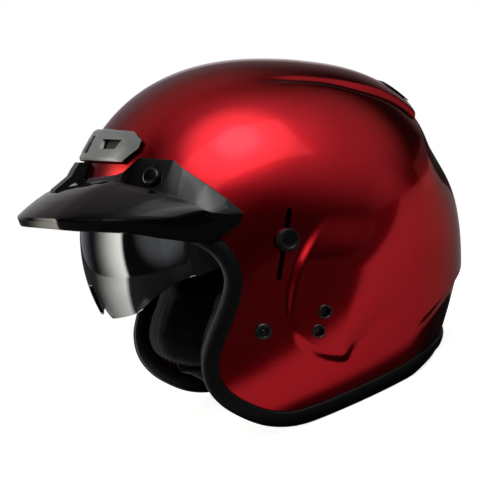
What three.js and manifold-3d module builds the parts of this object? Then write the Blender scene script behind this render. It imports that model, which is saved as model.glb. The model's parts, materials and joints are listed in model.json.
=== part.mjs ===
// Open-face motorcycle helmet with a detachable peak and a drop-down sun lens.
// Millimetres. Inside the head group +X is the wearer's left, +Y the back of the head and +Z up,
// with the origin at the centre of the shell. The finished helmet leans back on its lower rim.
import * as THREE from 'three';
import { LoftGeometry } from 'three/addons/geometries/LoftGeometry.js';
import { mergeVertices } from 'three/addons/utils/BufferGeometryUtils.js';
import Module from 'manifold-3d';

const wasm = await Module();
wasm.setup();

// ---- driving dimensions -------------------------------------------------------------------
const EXPONENT = 2.33;              // how square the superellipsoid of the shell is
const SHELL = { x: 122, front: 143, rear: 142, top: 151, drop: 190 };
const WALL = 3.5;
const GAP = 0.4;                    // clearance between touching pieces
const FOOT_DEPTH = 0.8;             // worn off the lowest part of the trim
const LEAN = THREE.MathUtils.degToRad(21);
const POLE_TILT = THREE.MathUtils.degToRad(47);

const HEAD = { x: 83, front: 104, rear: 112, top: 113, drop: 230 };  // inside of the foam
const FOAM_SPACE = 2.6;             // between the painted shell and the foam
const LINER_SPACE = 3;              // between the foam and the fabric liner
const COMFORT = 7;                  // from the foam to the face of the fabric liner

const LENS_PIVOT = { y: -19, z: 24 };
const LENS_RADIUS = 115;            // outer face, on the midplane, about the pivot axis
const LENS_REACH = 111.3;           // where the lens spheroid would meet the pivot axis
const LENS_THICK = 2.2;
const LENS_SIDE = 94;               // the lens ends here and the arms carry on
const ARM_X = 105.3;                // inner face of the flat hub of each arm
const ARM_THICK = 2;
const CRANK = 38;                   // from the pivot back to the follower pin
const KNOB_TRAVEL = { down: -25.2, up: 5.7 };

// Slot of the lens slider, between the centres of its round ends.
const SLOT = { y: -20.4, z: 21.8, length: 45.5, width: 3.4, slant: THREE.MathUtils.degToRad(10) };
const KNOB = { y: -19.9, z: 24.5, radius: 8 };
const SNAP = { y: -34.6, z: -36.7 };
const SOCKETS = [{ y: 7, z: -23.7 }, { y: 2.7, z: -36.8 }];
const PEAK_BUTTON = { x: 83.5, z: 65.5 };

const RED = 0xa30c16;
const BLACK = 0x101114;

// ---- small helpers ------------------------------------------------------------------------
const v3 = (x, y, z) => new THREE.Vector3(x, y, z);
const rad = THREE.MathUtils.degToRad;
const clamp01 = (t) => Math.min(1, Math.max(0, t));
const smooth = (from, to, value) => {
  const t = clamp01((value - from) / (to - from));
  return t * t * (3 - 2 * t);
};

// Positions and faces only, so that vertices that differ in normal or uv can merge.
function copyOf(geometry) {
  const copy = new THREE.BufferGeometry();
  copy.setAttribute('position', geometry.attributes.position.clone());
  if (geometry.index) copy.setIndex(geometry.index.clone());
  return copy;
}

function toManifold(geometry) {
  const merged = mergeVertices(copyOf(geometry), 1e-4);
  const mesh = new wasm.Mesh({
    numProp: 3,
    vertProperties: new Float32Array(merged.attributes.position.array),
    triVerts: new Uint32Array(merged.index.array),
  });
  return new wasm.Manifold(mesh);
}

function fromManifold(solid) {
  const mesh = solid.getMesh();
  const geometry = new THREE.BufferGeometry();
  geometry.setAttribute('position', new THREE.BufferAttribute(mesh.vertProperties, 3));
  geometry.setIndex(new THREE.BufferAttribute(mesh.triVerts, 1));
  geometry.computeVertexNormals();
  return geometry;
}

function subtract(geometry, ...tools) {
  let solid = toManifold(geometry);
  for (const tool of tools) solid = solid.subtract(toManifold(tool));
  return fromManifold(solid);
}

// Leaves out the slivers that a cut can split off.
function largestBody(geometry) {
  const bodies = toManifold(geometry).decompose();
  return fromManifold(bodies.reduce((best, body) => (body.volume() > best.volume() ? body : best)));
}

// Turns a closed geometry's faces outward.
function outward(geometry) {
  const position = geometry.attributes.position;
  const index = geometry.index.array;
  const corner = [v3(0, 0, 0), v3(0, 0, 0), v3(0, 0, 0)];
  let volume = 0;
  for (let i = 0; i < index.length; i += 3) {
    corner.forEach((p, k) => p.fromBufferAttribute(position, index[i + k]));
    volume += corner[0].dot(corner[1].cross(corner[2]));
  }
  return volume < 0 ? flipped(geometry) : geometry;
}

function flipped(geometry) {
  const index = geometry.index.array;
  for (let i = 0; i < index.length; i += 3) {
    [index[i], index[i + 1]] = [index[i + 1], index[i]];
  }
  geometry.computeVertexNormals();
  return geometry;
}

function union(first, ...others) {
  let solid = toManifold(first);
  for (const other of others) solid = solid.add(toManifold(other));
  return fromManifold(solid);
}

function mirrored(geometry) {
  const copy = mergeVertices(copyOf(geometry));
  copy.scale(-1, 1, 1);
  return flipped(copy);
}

// ---- the shell surface --------------------------------------------------------------------
function superRadius(d, s) {
  const depth = d.y < 0 ? s.front : s.rear;
  const height = d.z > 0 ? s.top : s.drop;
  const sum = Math.abs(d.x / s.x) ** EXPONENT
    + Math.abs(d.y / depth) ** EXPONENT
    + Math.abs(d.z / height) ** EXPONENT;
  return sum ** (-1 / EXPONENT);
}

function surfaceNormal(p, s) {
  const slope = (value, size) => Math.sign(value) * Math.abs(value / size) ** (EXPONENT - 1) / size;
  const depth = p.y < 0 ? s.front : s.rear;
  const height = p.z > 0 ? s.top : s.drop;
  return v3(slope(p.x, s.x), slope(p.y, depth), slope(p.z, height)).normalize();
}

// Side width of the surface at a height and a depth, zero where it's past the outline.
function sideWidth(y, z, s) {
  const depth = y < 0 ? s.front : s.rear;
  const height = z > 0 ? s.top : s.drop;
  const left = 1 - Math.abs(y / depth) ** EXPONENT - Math.abs(z / height) ** EXPONENT;
  return s.x * Math.max(0, left) ** (1 / EXPONENT);
}

// Raised and sunk areas of the painted shell, as a distance along its normal.
function relief(p) {
  return spoiler(p) - backFlat(p) - napeTuck(p) + sidePanel(p);
}

// The back is flatter below the raised panel.
function backFlat(p) {
  return 4 * Math.exp(-(((p.z - 88) / 24) ** 2)) * smooth(96, 116, p.y);
}

// Two ridges with a raised panel between them, which ends in a step above the back of the head.
function spoiler(p) {
  if (p.z < 60) return 0;
  const halfWidth = 61 - 9 * smooth(40, 98, p.y);
  const beside = Math.abs(p.x) - halfWidth;
  const rise = 3.5 * smooth(30, 92, p.y);
  const groove = 1.4 * Math.exp(-(((beside - 5) / 4) ** 2)) * smooth(-25, 10, p.y) * (1 - smooth(50, 90, p.y));
  const end = 1 - smooth(94, 98, p.y);
  return (rise * (1 - smooth(0, 7, beside)) - groove) * end;
}

// Below a slanting lip the back of the shell tucks in toward the neck.
function napeTuck(p) {
  const lip = 3 - 0.68 * Math.max(0, 134 - p.y);
  const below = lip - p.z;
  return (4 * smooth(-1, 7, below) + 0.22 * Math.max(0, below - 9)) * smooth(74, 118, p.y);
}

// Panel behind a C-shaped step on each side, which fades out toward the back.
function sidePanel(p) {
  if (Math.abs(p.x) < 60) return 0;
  const over = p.z + 24;
  const step = -17 + (over > 0 ? 0.0064 : 0.02) * over ** 2;
  const edge = smooth(step - 2.5, step + 2.5, p.y);
  const foot = smooth(-58.5, -53.5, p.z);
  const high = smooth(-54, -36, p.z);
  const fade = (1 - smooth(20 + 4 * high, 27 + 43 * high, p.y)) * (1 - smooth(6, 40, p.z));
  return 2.4 * edge * foot * fade;
}

function outerPoint(d, lift = 0) {
  const p = d.clone().multiplyScalar(superRadius(d, SHELL));
  return p.addScaledVector(surfaceNormal(p, SHELL), relief(p) + lift);
}

function innerPoint(d, depth = WALL) {
  const p = d.clone().multiplyScalar(superRadius(d, SHELL));
  return p.addScaledVector(surfaceNormal(p, SHELL), -depth - backFlat(p) - napeTuck(p));
}

// A point of the left side of the painted shell, with the normal there.
function onSide(y, z) {
  const base = v3(sideWidth(y, z, SHELL), y, z);
  const normal = surfaceNormal(base, SHELL);
  return { point: base.clone().addScaledVector(normal, relief(base)), normal };
}

// Moves a geometry built round the origin, facing +Z, so that it faces out of the shell.
function seat(geometry, { point, normal }, up = v3(0, 0, 1)) {
  const x = v3(0, 0, 0).crossVectors(up, normal).normalize();
  const y = v3(0, 0, 0).crossVectors(normal, x);
  const place = new THREE.Matrix4().makeBasis(x, y, normal).setPosition(point);
  return copyOf(geometry).applyMatrix4(place);
}

// ---- the rim ------------------------------------------------------------------------------
// Side view of the shell's edge, from the brow round the cheek and jaw to the nape.
const RIM_SIDE = [
  [-120, 36.5], [-97, 34], [-77, 27.5], [-62, 16], [-55, 1], [-56, -13], [-60.5, -28],
  [-66.5, -45], [-69, -58], [-66.5, -71], [-58.5, -82], [-44, -91.3], [-28, -97], [-10, -97.5],
  [10, -92], [35, -82.5], [66, -70.5], [95, -59],
];
const BROW_Z = 37;
const NAPE_Z = -47;

function rimCurve() {
  const left = RIM_SIDE.map(([y, z]) => v3(sideWidth(y, z, SHELL), y, z));
  const right = left.map((p) => v3(-p.x, p.y, p.z)).reverse();
  const brow = v3(0, -SHELL.front * (1 - (BROW_Z / SHELL.top) ** EXPONENT) ** (1 / EXPONENT), BROW_Z);
  const nape = v3(0, SHELL.rear * (1 - (-NAPE_Z / SHELL.drop) ** EXPONENT) ** (1 / EXPONENT), NAPE_Z);
  return new THREE.CatmullRomCurve3([brow, ...left, nape, ...right], true, 'centripetal');
}

// Directions are counted from a pole that leans back, so that the rim is one even loop round it.
const POLE = v3(0, Math.sin(POLE_TILT), Math.cos(POLE_TILT));
const ACROSS = v3(1, 0, 0);
const AHEAD = v3(0, -Math.cos(POLE_TILT), Math.sin(POLE_TILT));

function polarDirection(round, away) {
  return POLE.clone().multiplyScalar(Math.cos(away))
    .addScaledVector(AHEAD, Math.sin(away) * Math.cos(round))
    .addScaledVector(ACROSS, Math.sin(away) * Math.sin(round));
}

const RIM = rimCurve();
const RIM_COUNT = 64;

// Where each column of the shell ends: its turn round the pole and its angle away from it.
const RIM_COLUMNS = Array.from({ length: RIM_COUNT }, (_, i) => {
  const d = RIM.getPointAt(i / RIM_COUNT).normalize();
  return {
    round: Math.atan2(d.dot(ACROSS), d.dot(AHEAD)),
    away: Math.acos(d.dot(POLE)),
  };
});

// Lofts closed sections into a solid with flat ends, whichever way the sections wind.
function loft(sections) {
  const [first, second] = sections;
  const middle = (section) => section.reduce((sum, p) => sum.add(p), v3(0, 0, 0)).divideScalar(section.length);
  const ahead = middle(second).sub(middle(first));
  const area = v3(0, 0, 0);
  first.forEach((p, i) => area.add(v3(0, 0, 0).crossVectors(p, first[(i + 1) % first.length])));
  const ordered = area.dot(ahead) > 0 ? sections : sections.map((section) => [...section].reverse());
  return new LoftGeometry(ordered, { capStart: true, capEnd: true });
}

// Lofts rings that start and end in the middle of a dish, and closes each middle with a fan.
function dish(rings) {
  const open = mergeVertices(copyOf(new LoftGeometry(rings)));
  const index = Array.from(open.index.array);
  const positions = Array.from(open.attributes.position.array);
  const find = nearestVertex(positions);
  const closeWith = (ring, turn) => {
    const middle = ring.reduce((sum, p) => sum.add(p), v3(0, 0, 0)).divideScalar(ring.length);
    const hub = positions.length / 3;
    positions.push(middle.x, middle.y, middle.z);
    const ids = ring.map(find);
    ids.forEach((id, j) => {
      const next = ids[(j + 1) % ids.length];
      index.push(...(turn ? [id, next, hub] : [next, id, hub]));
    });
  };
  closeWith(rings[0], false);
  closeWith(rings.at(-1), true);
  const closed = new THREE.BufferGeometry();
  closed.setAttribute('position', new THREE.Float32BufferAttribute(positions, 3));
  closed.setIndex(index);
  return outward(closed);
}

function nearestVertex(positions) {
  return (p) => {
    let best = 0;
    let least = Infinity;
    for (let i = 0; i < positions.length; i += 3) {
      const far = (positions[i] - p.x) ** 2 + (positions[i + 1] - p.y) ** 2 + (positions[i + 2] - p.z) ** 2;
      if (far < least) {
        least = far;
        best = i / 3;
      }
    }
    return best;
  };
}

// A bowl between two surfaces, whose columns run from a small ring round the pole to the edge.
function bowl(outside, inside, { columns, rowsOut, rowsIn, direct = polarDirection }) {
  const ring = (t, surface) => columns.map(({ round, away }) => surface(direct(round, t * away)));
  const start = 0.03;
  const out = Array.from({ length: rowsOut + 1 }, (_, i) => ring(start + (1 - start) * i / rowsOut, outside));
  const back = Array.from({ length: rowsIn + 1 }, (_, i) => ring(1 - (1 - start) * i / rowsIn, inside));
  return dish([...out, ...back]);
}

// ---- painted shell and its edge trim --------------------------------------------------------
function slotTool(width, depth) {
  const shape = new THREE.Shape();
  const half = SLOT.length / 2;
  shape.absarc(0, half, width / 2, 0, Math.PI);
  shape.absarc(0, -half, width / 2, Math.PI, 2 * Math.PI);
  const tool = new THREE.ExtrudeGeometry(shape, { depth, bevelEnabled: false, curveSegments: 6 });
  tool.translate(0, 0, -depth / 2);
  tool.rotateZ(-SLOT.slant);
  return seat(tool, onSide(SLOT.y, SLOT.z));
}

function holeTool(place, radius) {
  const tool = new THREE.CylinderGeometry(radius, radius, 24, 12);
  tool.rotateX(Math.PI / 2);
  return seat(tool, place);
}

function outerShell() {
  const body = bowl((d) => outerPoint(d), (d) => innerPoint(d), {
    columns: RIM_COLUMNS, rowsOut: 16, rowsIn: 9,
  });
  const holes = [
    holeTool(onSide(SNAP.y, SNAP.z), 3),
    holeTool(onFront(PEAK_BUTTON.x, PEAK_BUTTON.z), 3),
    ...SOCKETS.map(({ y, z }) => holeTool(onSide(y, z), 4)),
  ];
  const clipHole = holeTool(onFront(0, PEAK_CLIP_Z), 3);
  return subtract(body, slotTool(SLOT.width, 24), clipHole, ...holes, ...holes.map(mirrored));
}

// Frame at a column's end: the shell's edge, the way past the edge and the way out of the paint.
function rimFrame(i) {
  const edge = (column) => outerPoint(polarDirection(column.round, column.away));
  const { round, away } = RIM_COLUMNS[i];
  const point = edge({ round, away });
  const along = edge(RIM_COLUMNS[(i + 1) % RIM_COUNT]).sub(edge(RIM_COLUMNS.at(i - 1))).normalize();
  const off = point.clone().sub(outerPoint(polarDirection(round, 0.95 * away)));
  off.addScaledVector(along, -off.dot(along)).normalize();
  return { point, off, normal: v3(0, 0, 0).crossVectors(off, along).normalize() };
}

// U-shaped rubber trim. Its section is given as [distance past the edge, height over the paint].
const TRIM_SECTION = [
  [-6.5, 1.6], [-5.5, 2.9], [0, 3.4], [4.2, 1.9], [5.6, -1.8], [4.2, -5.6], [0, -7.3], [-6, -6.9],
  [-6.5, -WALL - 1.6], [1.6, -WALL - 1.6], [1.6, 1.6],
];

function edgeTrim() {
  const sections = RIM_COLUMNS.map((_, i) => {
    const { point, normal, off } = rimFrame(i);
    return TRIM_SECTION.map(([past, over]) => point.clone()
      .addScaledVector(off, past)
      .addScaledVector(normal, over));
  });
  return outward(new LoftGeometry([...sections, sections[0]]));
}

// Wears the trim flat where it meets the ground.
function flatFooted(trim) {
  const leaned = copyOf(trim).rotateX(-LEAN);
  leaned.computeBoundingBox();
  const ground = new THREE.BoxGeometry(400, 400, 20);
  ground.translate(0, 0, leaned.boundingBox.min.z + FOOT_DEPTH - 10);
  return subtract(trim, ground.rotateX(LEAN));
}

// ---- foam liner -----------------------------------------------------------------------------
function headSurface(d, inset) {
  const p = d.clone().multiplyScalar(superRadius(d, HEAD));
  return p.addScaledVector(surfaceNormal(p, HEAD), -inset);
}

function lensRadius(x, inset = 0) {
  const share = Math.min(1, Math.abs(x) / (LENS_REACH - inset));
  return (LENS_RADIUS - inset) * Math.sqrt(1 - share ** 2);
}

// A point at a sideways place, a distance from the pivot axis and an angle above straight ahead.
function aboutPivot(x, radius, angle) {
  return v3(x, LENS_PIVOT.y - radius * Math.cos(angle), LENS_PIVOT.z + radius * Math.sin(angle));
}

// The sector that the sun lens sweeps, from its inner face out past the shell.
function lensSweepTool() {
  const half = LENS_REACH - 8;
  const xs = Array.from({ length: 17 }, (_, i) => half * Math.cos(Math.PI * i / 16));
  const sections = Array.from({ length: 14 }, (_, i) => {
    const angle = rad(-52 + 106 * i / 13);
    const near = xs.map((x) => aboutPivot(x, lensRadius(x, LENS_THICK + 1.5), angle));
    const far = xs.map((x) => aboutPivot(x * 1.3, lensRadius(x) + 60, angle)).reverse();
    return [...near, ...far];
  });
  return loft(sections);
}

// Recess in the side of the foam for the lens arm, its bracket and the slider carriage.
function armPocketTool() {
  const floor = ARM_X - 2.6;
  const shape = new THREE.Shape();
  shape.moveTo(floor, 36);
  shape.lineTo(floor, -56);
  shape.lineTo(88, -92);
  shape.lineTo(135, -92);
  shape.lineTo(135, 36);
  const tool = new THREE.ExtrudeGeometry(shape, { depth: 108, bevelEnabled: false });
  tool.translate(0, 0, -22);
  return tool;
}

// Channel behind the shell for the strap hanger and the strap that runs down from it.
function strapChannelTool() {
  const tool = new THREE.BoxGeometry(34, 74, 13);
  tool.translate(0, -24, -WALL - 5.5);
  return seat(tool, onSide(SNAP.y, SNAP.z));
}

function foamLiner() {
  const columns = RIM_COLUMNS.filter((_, i) => i % 2 === 0).map(({ round, away }) => ({ round, away: 0.93 * away }));
  const body = bowl((d) => innerPoint(d, WALL + FOAM_SPACE), (d) => headSurface(d, 0), {
    columns, rowsOut: 11, rowsIn: 8,
  });
  const left = [armPocketTool(), strapChannelTool(), cheekPad(0.7)];
  return largestBody(subtract(body, lensSweepTool(), ...left, ...left.map(mirrored)));
}

// ---- fabric parts ---------------------------------------------------------------------------
function uprightDirection(round, away) {
  return v3(Math.sin(away) * Math.sin(round), -Math.sin(away) * Math.cos(round), Math.cos(away));
}

function crownLiner() {
  const columns = Array.from({ length: 32 }, (_, i) => {
    const round = 2 * Math.PI * i / 32;
    return { round, away: rad(86 - 17 * Math.cos(round)) };
  });
  return bowl((d) => headSurface(d, LINER_SPACE), (d) => headSurface(d, COMFORT), {
    columns, rowsOut: 8, rowsIn: 6, direct: uprightDirection,
  });
}

// Side view of a cheek pad: it lies just behind the rim of the face opening.
const PAD_OUTLINE = [
  [-52, -13], [-57, -26], [-63, -44], [-65, -58], [-60, -70], [-46, -76], [-20, -78],
  [8, -75], [25, -62], [31, -40], [23, -20], [0, -11], [-28, -10],
];
const PAD_INNER_X = 57;
const PAD_OUTER_X = 99;

function cheekPad(grow = 0) {
  const outline = new THREE.CatmullRomCurve3(PAD_OUTLINE.map(([y, z]) => v3(0, y, z)), true, 'centripetal');
  const centre = v3(0, -20, -45);
  const steps = [[0, 0.72], [1.5, 0.86], [6, 0.97], [12, 1], [PAD_OUTER_X - PAD_INNER_X, 1]];
  const points = outline.getPoints(24).slice(0, -1);
  const sections = steps.map(([deep, share]) => points.map((p) => {
    const q = p.clone().sub(centre);
    q.setLength(q.length() * share + grow).add(centre);
    q.x = PAD_INNER_X + deep + (deep ? grow : -grow);
    return q;
  }));
  return loft(sections);
}

// Padded roll round the back of the neck, between the two cheek pads.
function neckRoll() {
  const halfAngle = rad(64);
  const sections = Array.from({ length: 17 }, (_, i) => {
    const turn = halfAngle * (i / 8 - 1);
    const z = -41 - 21 * (1 - Math.cos(turn)) / (1 - Math.cos(halfAngle));
    const across = v3(Math.sin(turn), Math.cos(turn), 0);
    const level = (1 - (-z / HEAD.drop) ** EXPONENT) ** (1 / EXPONENT);
    const depth = superRadius(across, HEAD) * level - 10;
    const taper = Math.sqrt(1 - (0.94 * turn / halfAngle) ** 8);
    return Array.from({ length: 10 }, (_, k) => {
      const a = 2 * Math.PI * k / 10;
      return across.clone().multiplyScalar(depth + 7.5 * taper * Math.cos(a))
        .add(v3(0, 0, z + 11 * taper * Math.sin(a)));
    });
  });
  return loft(sections);
}

// ---- chin strap -----------------------------------------------------------------------------
const STRAP = { width: 24, thick: 1.8 };

// Flat webbing along a route of [x, y, z] stops, with its width running front to back.
function webbing(stops, count) {
  const line = new THREE.CatmullRomCurve3(stops.map(([x, y, z]) => v3(x, y, z)), false, 'centripetal');
  const sections = Array.from({ length: count + 1 }, (_, i) => {
    const t = i / count;
    const at = line.getPoint(t);
    const wide = v3(0, 1, 0);
    const along = line.getTangent(t);
    wide.addScaledVector(along, -wide.dot(along)).normalize();
    const face = v3(0, 0, 0).crossVectors(along, wide);
    const corner = (w, f) => at.clone()
      .addScaledVector(wide, w * STRAP.width / 2)
      .addScaledVector(face, f * STRAP.thick / 2);
    return [corner(-1, -1), corner(1, -1), corner(1, 1), corner(-1, 1)];
  });
  return loft(sections);
}

const BUCKLE = { x: 4, y: -16, z: -87 };

function leftStrap() {
  const run = webbing([
    [109.4, -33, -47], [107.4, -31, -62], [103.6, -29, -77], [96, -27, -84], [78, -24, -84.2],
    [52, -20, -86], [28, -17, -87.4], [BUCKLE.x + 12, BUCKLE.y, BUCKLE.z],
  ], 26);
  const loop = new THREE.Shape();
  loop.absarc(0, 2.2, 4.4, 0, Math.PI);
  loop.absarc(0, -2.2, 4.4, Math.PI, 2 * Math.PI);
  const hole = new THREE.Path();
  hole.absarc(0, 2.2, 2.6, 0, Math.PI);
  hole.absarc(0, -2.2, 2.6, Math.PI, 2 * Math.PI);
  loop.holes.push(hole);
  const sleeve = new THREE.ExtrudeGeometry(loop, { depth: STRAP.width, bevelEnabled: false, curveSegments: 6 });
  sleeve.translate(0, 0, -STRAP.width / 2);
  sleeve.rotateX(Math.PI / 2);
  sleeve.translate(BUCKLE.x + 9, BUCKLE.y, BUCKLE.z);
  return union(run, sleeve);
}

function rightStrap() {
  return webbing([
    [-109.4, -33, -47], [-107.4, -31, -62], [-103.6, -29, -77], [-96, -27, -84],
    [-78, -24, -84.6], [-52, -20, -87.5], [-26, -17, -91], [BUCKLE.x - 13, BUCKLE.y, -93],
    [BUCKLE.x - 3, BUCKLE.y, -91.6], [BUCKLE.x + 1, BUCKLE.y, BUCKLE.z],
    [BUCKLE.x - 3, BUCKLE.y, -82.4], [BUCKLE.x - 13, BUCKLE.y, -80.9], [BUCKLE.x - 44, BUCKLE.y - 1, -81.6],
  ], 44);
}

// D-shaped ring of round wire, with its straight bar in the loop of the left strap.
function dRing(level) {
  const halfBar = 17;
  const reach = 20;
  const bow = Array.from({ length: 9 }, (_, i) => {
    const a = Math.PI / 2 + Math.PI * i / 8;
    return v3(-5 + (reach - 5) * Math.cos(a), halfBar * Math.sin(a), 0);
  });
  const bar = [-16, -8, 0, 8, 16].map((y) => v3(0, y, 0));
  const line = new THREE.CatmullRomCurve3([...bow, ...bar], true, 'centripetal');
  const ring = new THREE.TubeGeometry(line, 28, 1.4, 6, true);
  ring.translate(BUCKLE.x + 9, BUCKLE.y, BUCKLE.z + level);
  return ring;
}

function strapHanger() {
  const shape = new THREE.Shape();
  shape.moveTo(-11, -9);
  shape.lineTo(11, -9);
  shape.lineTo(6, 8);
  shape.lineTo(-6, 8);
  const hole = new THREE.Path();
  hole.absarc(0, 0, 2.9, 0, 2 * Math.PI, true);
  shape.holes.push(hole);
  const plate = new THREE.ExtrudeGeometry(shape, { depth: 1.2, bevelEnabled: false, curveSegments: 10 });
  plate.translate(0, 0, -WALL - 2.5);
  return seat(plate, onSide(SNAP.y, SNAP.z));
}

// ---- snaps and sockets in the side ----------------------------------------------------------
function lathe(profile, segments = 12) {
  const geometry = new THREE.LatheGeometry(profile.map(([r, h]) => new THREE.Vector2(r, h)), segments);
  geometry.rotateX(Math.PI / 2);
  return outward(geometry);
}

function strapSnap() {
  const profile = [
    [0, -7.5], [2.5, -7.5], [2.5, 0.4], [5.8, 0.4], [5.8, 1.4], [4.9, 2.4], [3.6, 2.4], [3.2, 1.3],
    [1.8, 1.3], [1.3, 2.1], [0, 2.1],
  ];
  return seat(lathe(profile), onSide(SNAP.y, SNAP.z));
}

function sideSocket(place) {
  const profile = [
    [0, -4.2], [3.7, -4.2], [3.7, 0.4], [4.9, 0.4], [4.9, 0.9], [4.3, 1.2], [3.4, 0.9], [3.1, -3.6], [0, -3.6],
  ];
  return seat(lathe(profile), onSide(place.y, place.z));
}

// ---- sun lens, its arms and brackets --------------------------------------------------------
// Lower edge of the lens as an angle about the pivot: a nose notch, then two low corners.
function lensLowAngle(x) {
  const away = Math.abs(x);
  const notch = 13 * (1 - smooth(5, 20, away));
  const corner = 8 * smooth(48, LENS_SIDE, away);
  return rad(-31 + notch + corner);
}

const LENS_TOP_ANGLE = rad(11);

function lensBand(fromX, toX, count, lowAngle, thick) {
  const along = 6;
  const sections = Array.from({ length: count + 1 }, (_, i) => {
    const x = fromX + (toX - fromX) * i / count;
    const low = lowAngle(x);
    const at = (inset, t) => aboutPivot(x, lensRadius(x, 0) - inset, low + (LENS_TOP_ANGLE - low) * t);
    const front = Array.from({ length: along + 1 }, (_, k) => at(0, k / along));
    const back = Array.from({ length: along + 1 }, (_, k) => at(thick, 1 - k / along));
    return [...front, ...back];
  });
  return loft(sections);
}

function sunLens() {
  return lensBand(-LENS_SIDE, LENS_SIDE, 28, lensLowAngle, LENS_THICK);
}

// Extrudes an outline drawn as (y, z) from one sideways place to another.
function slab(shape, fromX, toX) {
  const body = new THREE.ExtrudeGeometry(shape, { depth: toX - fromX, bevelEnabled: false, curveSegments: 8 });
  const toSide = new THREE.Matrix4().makeBasis(v3(0, 1, 0), v3(0, 0, 1), v3(1, 0, 0));
  return body.applyMatrix4(toSide).translate(fromX, 0, 0);
}

// Where the follower pin is in the arm's own frame when the knob has moved by travel.
function followerPath(travel) {
  const turn = travel / CRANK;
  const y = CRANK + travel * Math.sin(SLOT.slant);
  const z = travel * Math.cos(SLOT.slant);
  return new THREE.Vector2(
    y * Math.cos(turn) + z * Math.sin(turn),
    -y * Math.sin(turn) + z * Math.cos(turn),
  );
}

function lensArm(withCrank) {
  const web = lensBand(LENS_SIDE + GAP, ARM_X + 0.8, 4, () => rad(-24), 2.4);
  const hub = new THREE.Shape();
  const reach = lensRadius(ARM_X) - 0.6;
  hub.absarc(0, 0, 10, rad(-120), rad(120));
  hub.absarc(0, 0, reach, Math.PI - LENS_TOP_ANGLE + rad(1), Math.PI + rad(23));
  const pin = new THREE.Path();
  pin.absarc(0, 0, 4.5, 0, 2 * Math.PI, true);
  hub.holes.push(pin);
  const plate = slab(hub, ARM_X, ARM_X + ARM_THICK);
  plate.translate(0, LENS_PIVOT.y, LENS_PIVOT.z);
  if (!withCrank) return union(web, plate);
  return subtract(union(web, plate, crankPlate()), crankSlotTool());
}

function crankPlate() {
  const shape = new THREE.Shape();
  shape.absarc(CRANK + 4, 0.5, 7, rad(-90), rad(90));
  shape.lineTo(7, 7.5);
  shape.lineTo(7, -6.5);
  return slab(shape, ARM_X, ARM_X + ARM_THICK).translate(0, LENS_PIVOT.y, LENS_PIVOT.z);
}

// The follower's path, swept by a circle a little wider than the pin.
function crankSlotTool() {
  const stops = [KNOB_TRAVEL.down, KNOB_TRAVEL.down / 2, 0, KNOB_TRAVEL.up].map(followerPath);
  const discs = stops.map(({ x, y }) => {
    const disc = new THREE.CylinderGeometry(3.2, 3.2, 10, 14);
    disc.rotateZ(Math.PI / 2);
    return disc.translate(ARM_X, LENS_PIVOT.y + x, LENS_PIVOT.z + y);
  });
  const bars = stops.slice(1).map((to, i) => {
    const from = stops[i];
    const bar = new THREE.BoxGeometry(10, from.distanceTo(to), 6.4);
    bar.rotateX(Math.atan2(to.y - from.y, to.x - from.x));
    return bar.translate(ARM_X, LENS_PIVOT.y + (from.x + to.x) / 2, LENS_PIVOT.z + (from.y + to.y) / 2);
  });
  return union(...discs, ...bars);
}

function lensBracket() {
  const profile = [
    [1.9, -2.3], [12, -2.3], [12, -GAP], [4.1, -GAP], [4.1, ARM_THICK + 0.4], [1.9, ARM_THICK + 0.4],
    [1.9, -2.3],
  ];
  return lathe(profile, 20).rotateY(Math.PI / 2).translate(ARM_X, LENS_PIVOT.y, LENS_PIVOT.z);
}

function pivotScrew() {
  const head = ARM_THICK + 0.8;
  const profile = [[0, -2], [1.5, -2], [1.5, head], [6, head], [6, head + 0.6], [4.6, head + 1.3], [0, head + 1.3]];
  return lathe(profile).rotateY(Math.PI / 2).translate(ARM_X, LENS_PIVOT.y, LENS_PIVOT.z);
}

// ---- lens slider ----------------------------------------------------------------------------
// Frame of the sliding parts: the way the knob slides, and the way out through the slot.
function slideFrame() {
  const { point } = onSide(KNOB.y, KNOB.z);
  const up = slideDirection();
  const back = v3(0, 0, 0).crossVectors(up, v3(1, 0, 0)).normalize();
  const out = v3(0, 0, 0).crossVectors(back, up);
  return new THREE.Matrix4().makeBasis(back, up, out).setPosition(point);
}

function slideDirection() {
  const top = onSide(SLOT.y + 22 * Math.sin(SLOT.slant), SLOT.z + 22 * Math.cos(SLOT.slant)).point;
  const foot = onSide(SLOT.y - 22 * Math.sin(SLOT.slant), SLOT.z - 22 * Math.cos(SLOT.slant)).point;
  return top.sub(foot).normalize();
}

function sliderKnob() {
  const profile = [
    [0, -8.6], [1.4, -8.6], [1.4, 1.8], [KNOB.radius - 0.6, 1.8], [KNOB.radius, 2.6],
    [KNOB.radius, 7.6], [KNOB.radius - 0.8, 8.6], [KNOB.radius - 2, 8.9], [0, 8.5],
  ];
  return lathe(profile, 22).applyMatrix4(slideFrame());
}

const CARRIAGE_FACE = -6.9;         // outer face of the carriage, under the paint

function sliderCarriage() {
  const rearStop = CRANK + LENS_PIVOT.y - KNOB.y;
  const shape = new THREE.Shape();
  shape.absarc(0, 0, 8, Math.PI / 2, 3 * Math.PI / 2);
  shape.absarc(rearStop, 0, 5, -Math.PI / 2, Math.PI / 2);
  const hole = new THREE.Path();
  hole.absarc(0, 0, 1.8, 0, 2 * Math.PI, true);
  shape.holes.push(hole);
  const plate = new THREE.ExtrudeGeometry(shape, { depth: 2, bevelEnabled: false, curveSegments: 10 });
  plate.translate(0, 0, CARRIAGE_FACE - 2);
  plate.applyMatrix4(slideFrame());
  const pinFrom = ARM_X - 0.6;
  const pinTo = 112.6;
  const pin = new THREE.CylinderGeometry(2.5, 2.5, pinTo - pinFrom, 14);
  pin.rotateZ(Math.PI / 2);
  pin.translate((pinFrom + pinTo) / 2, LENS_PIVOT.y + CRANK, LENS_PIVOT.z);
  return union(plate, pin);
}

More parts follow.
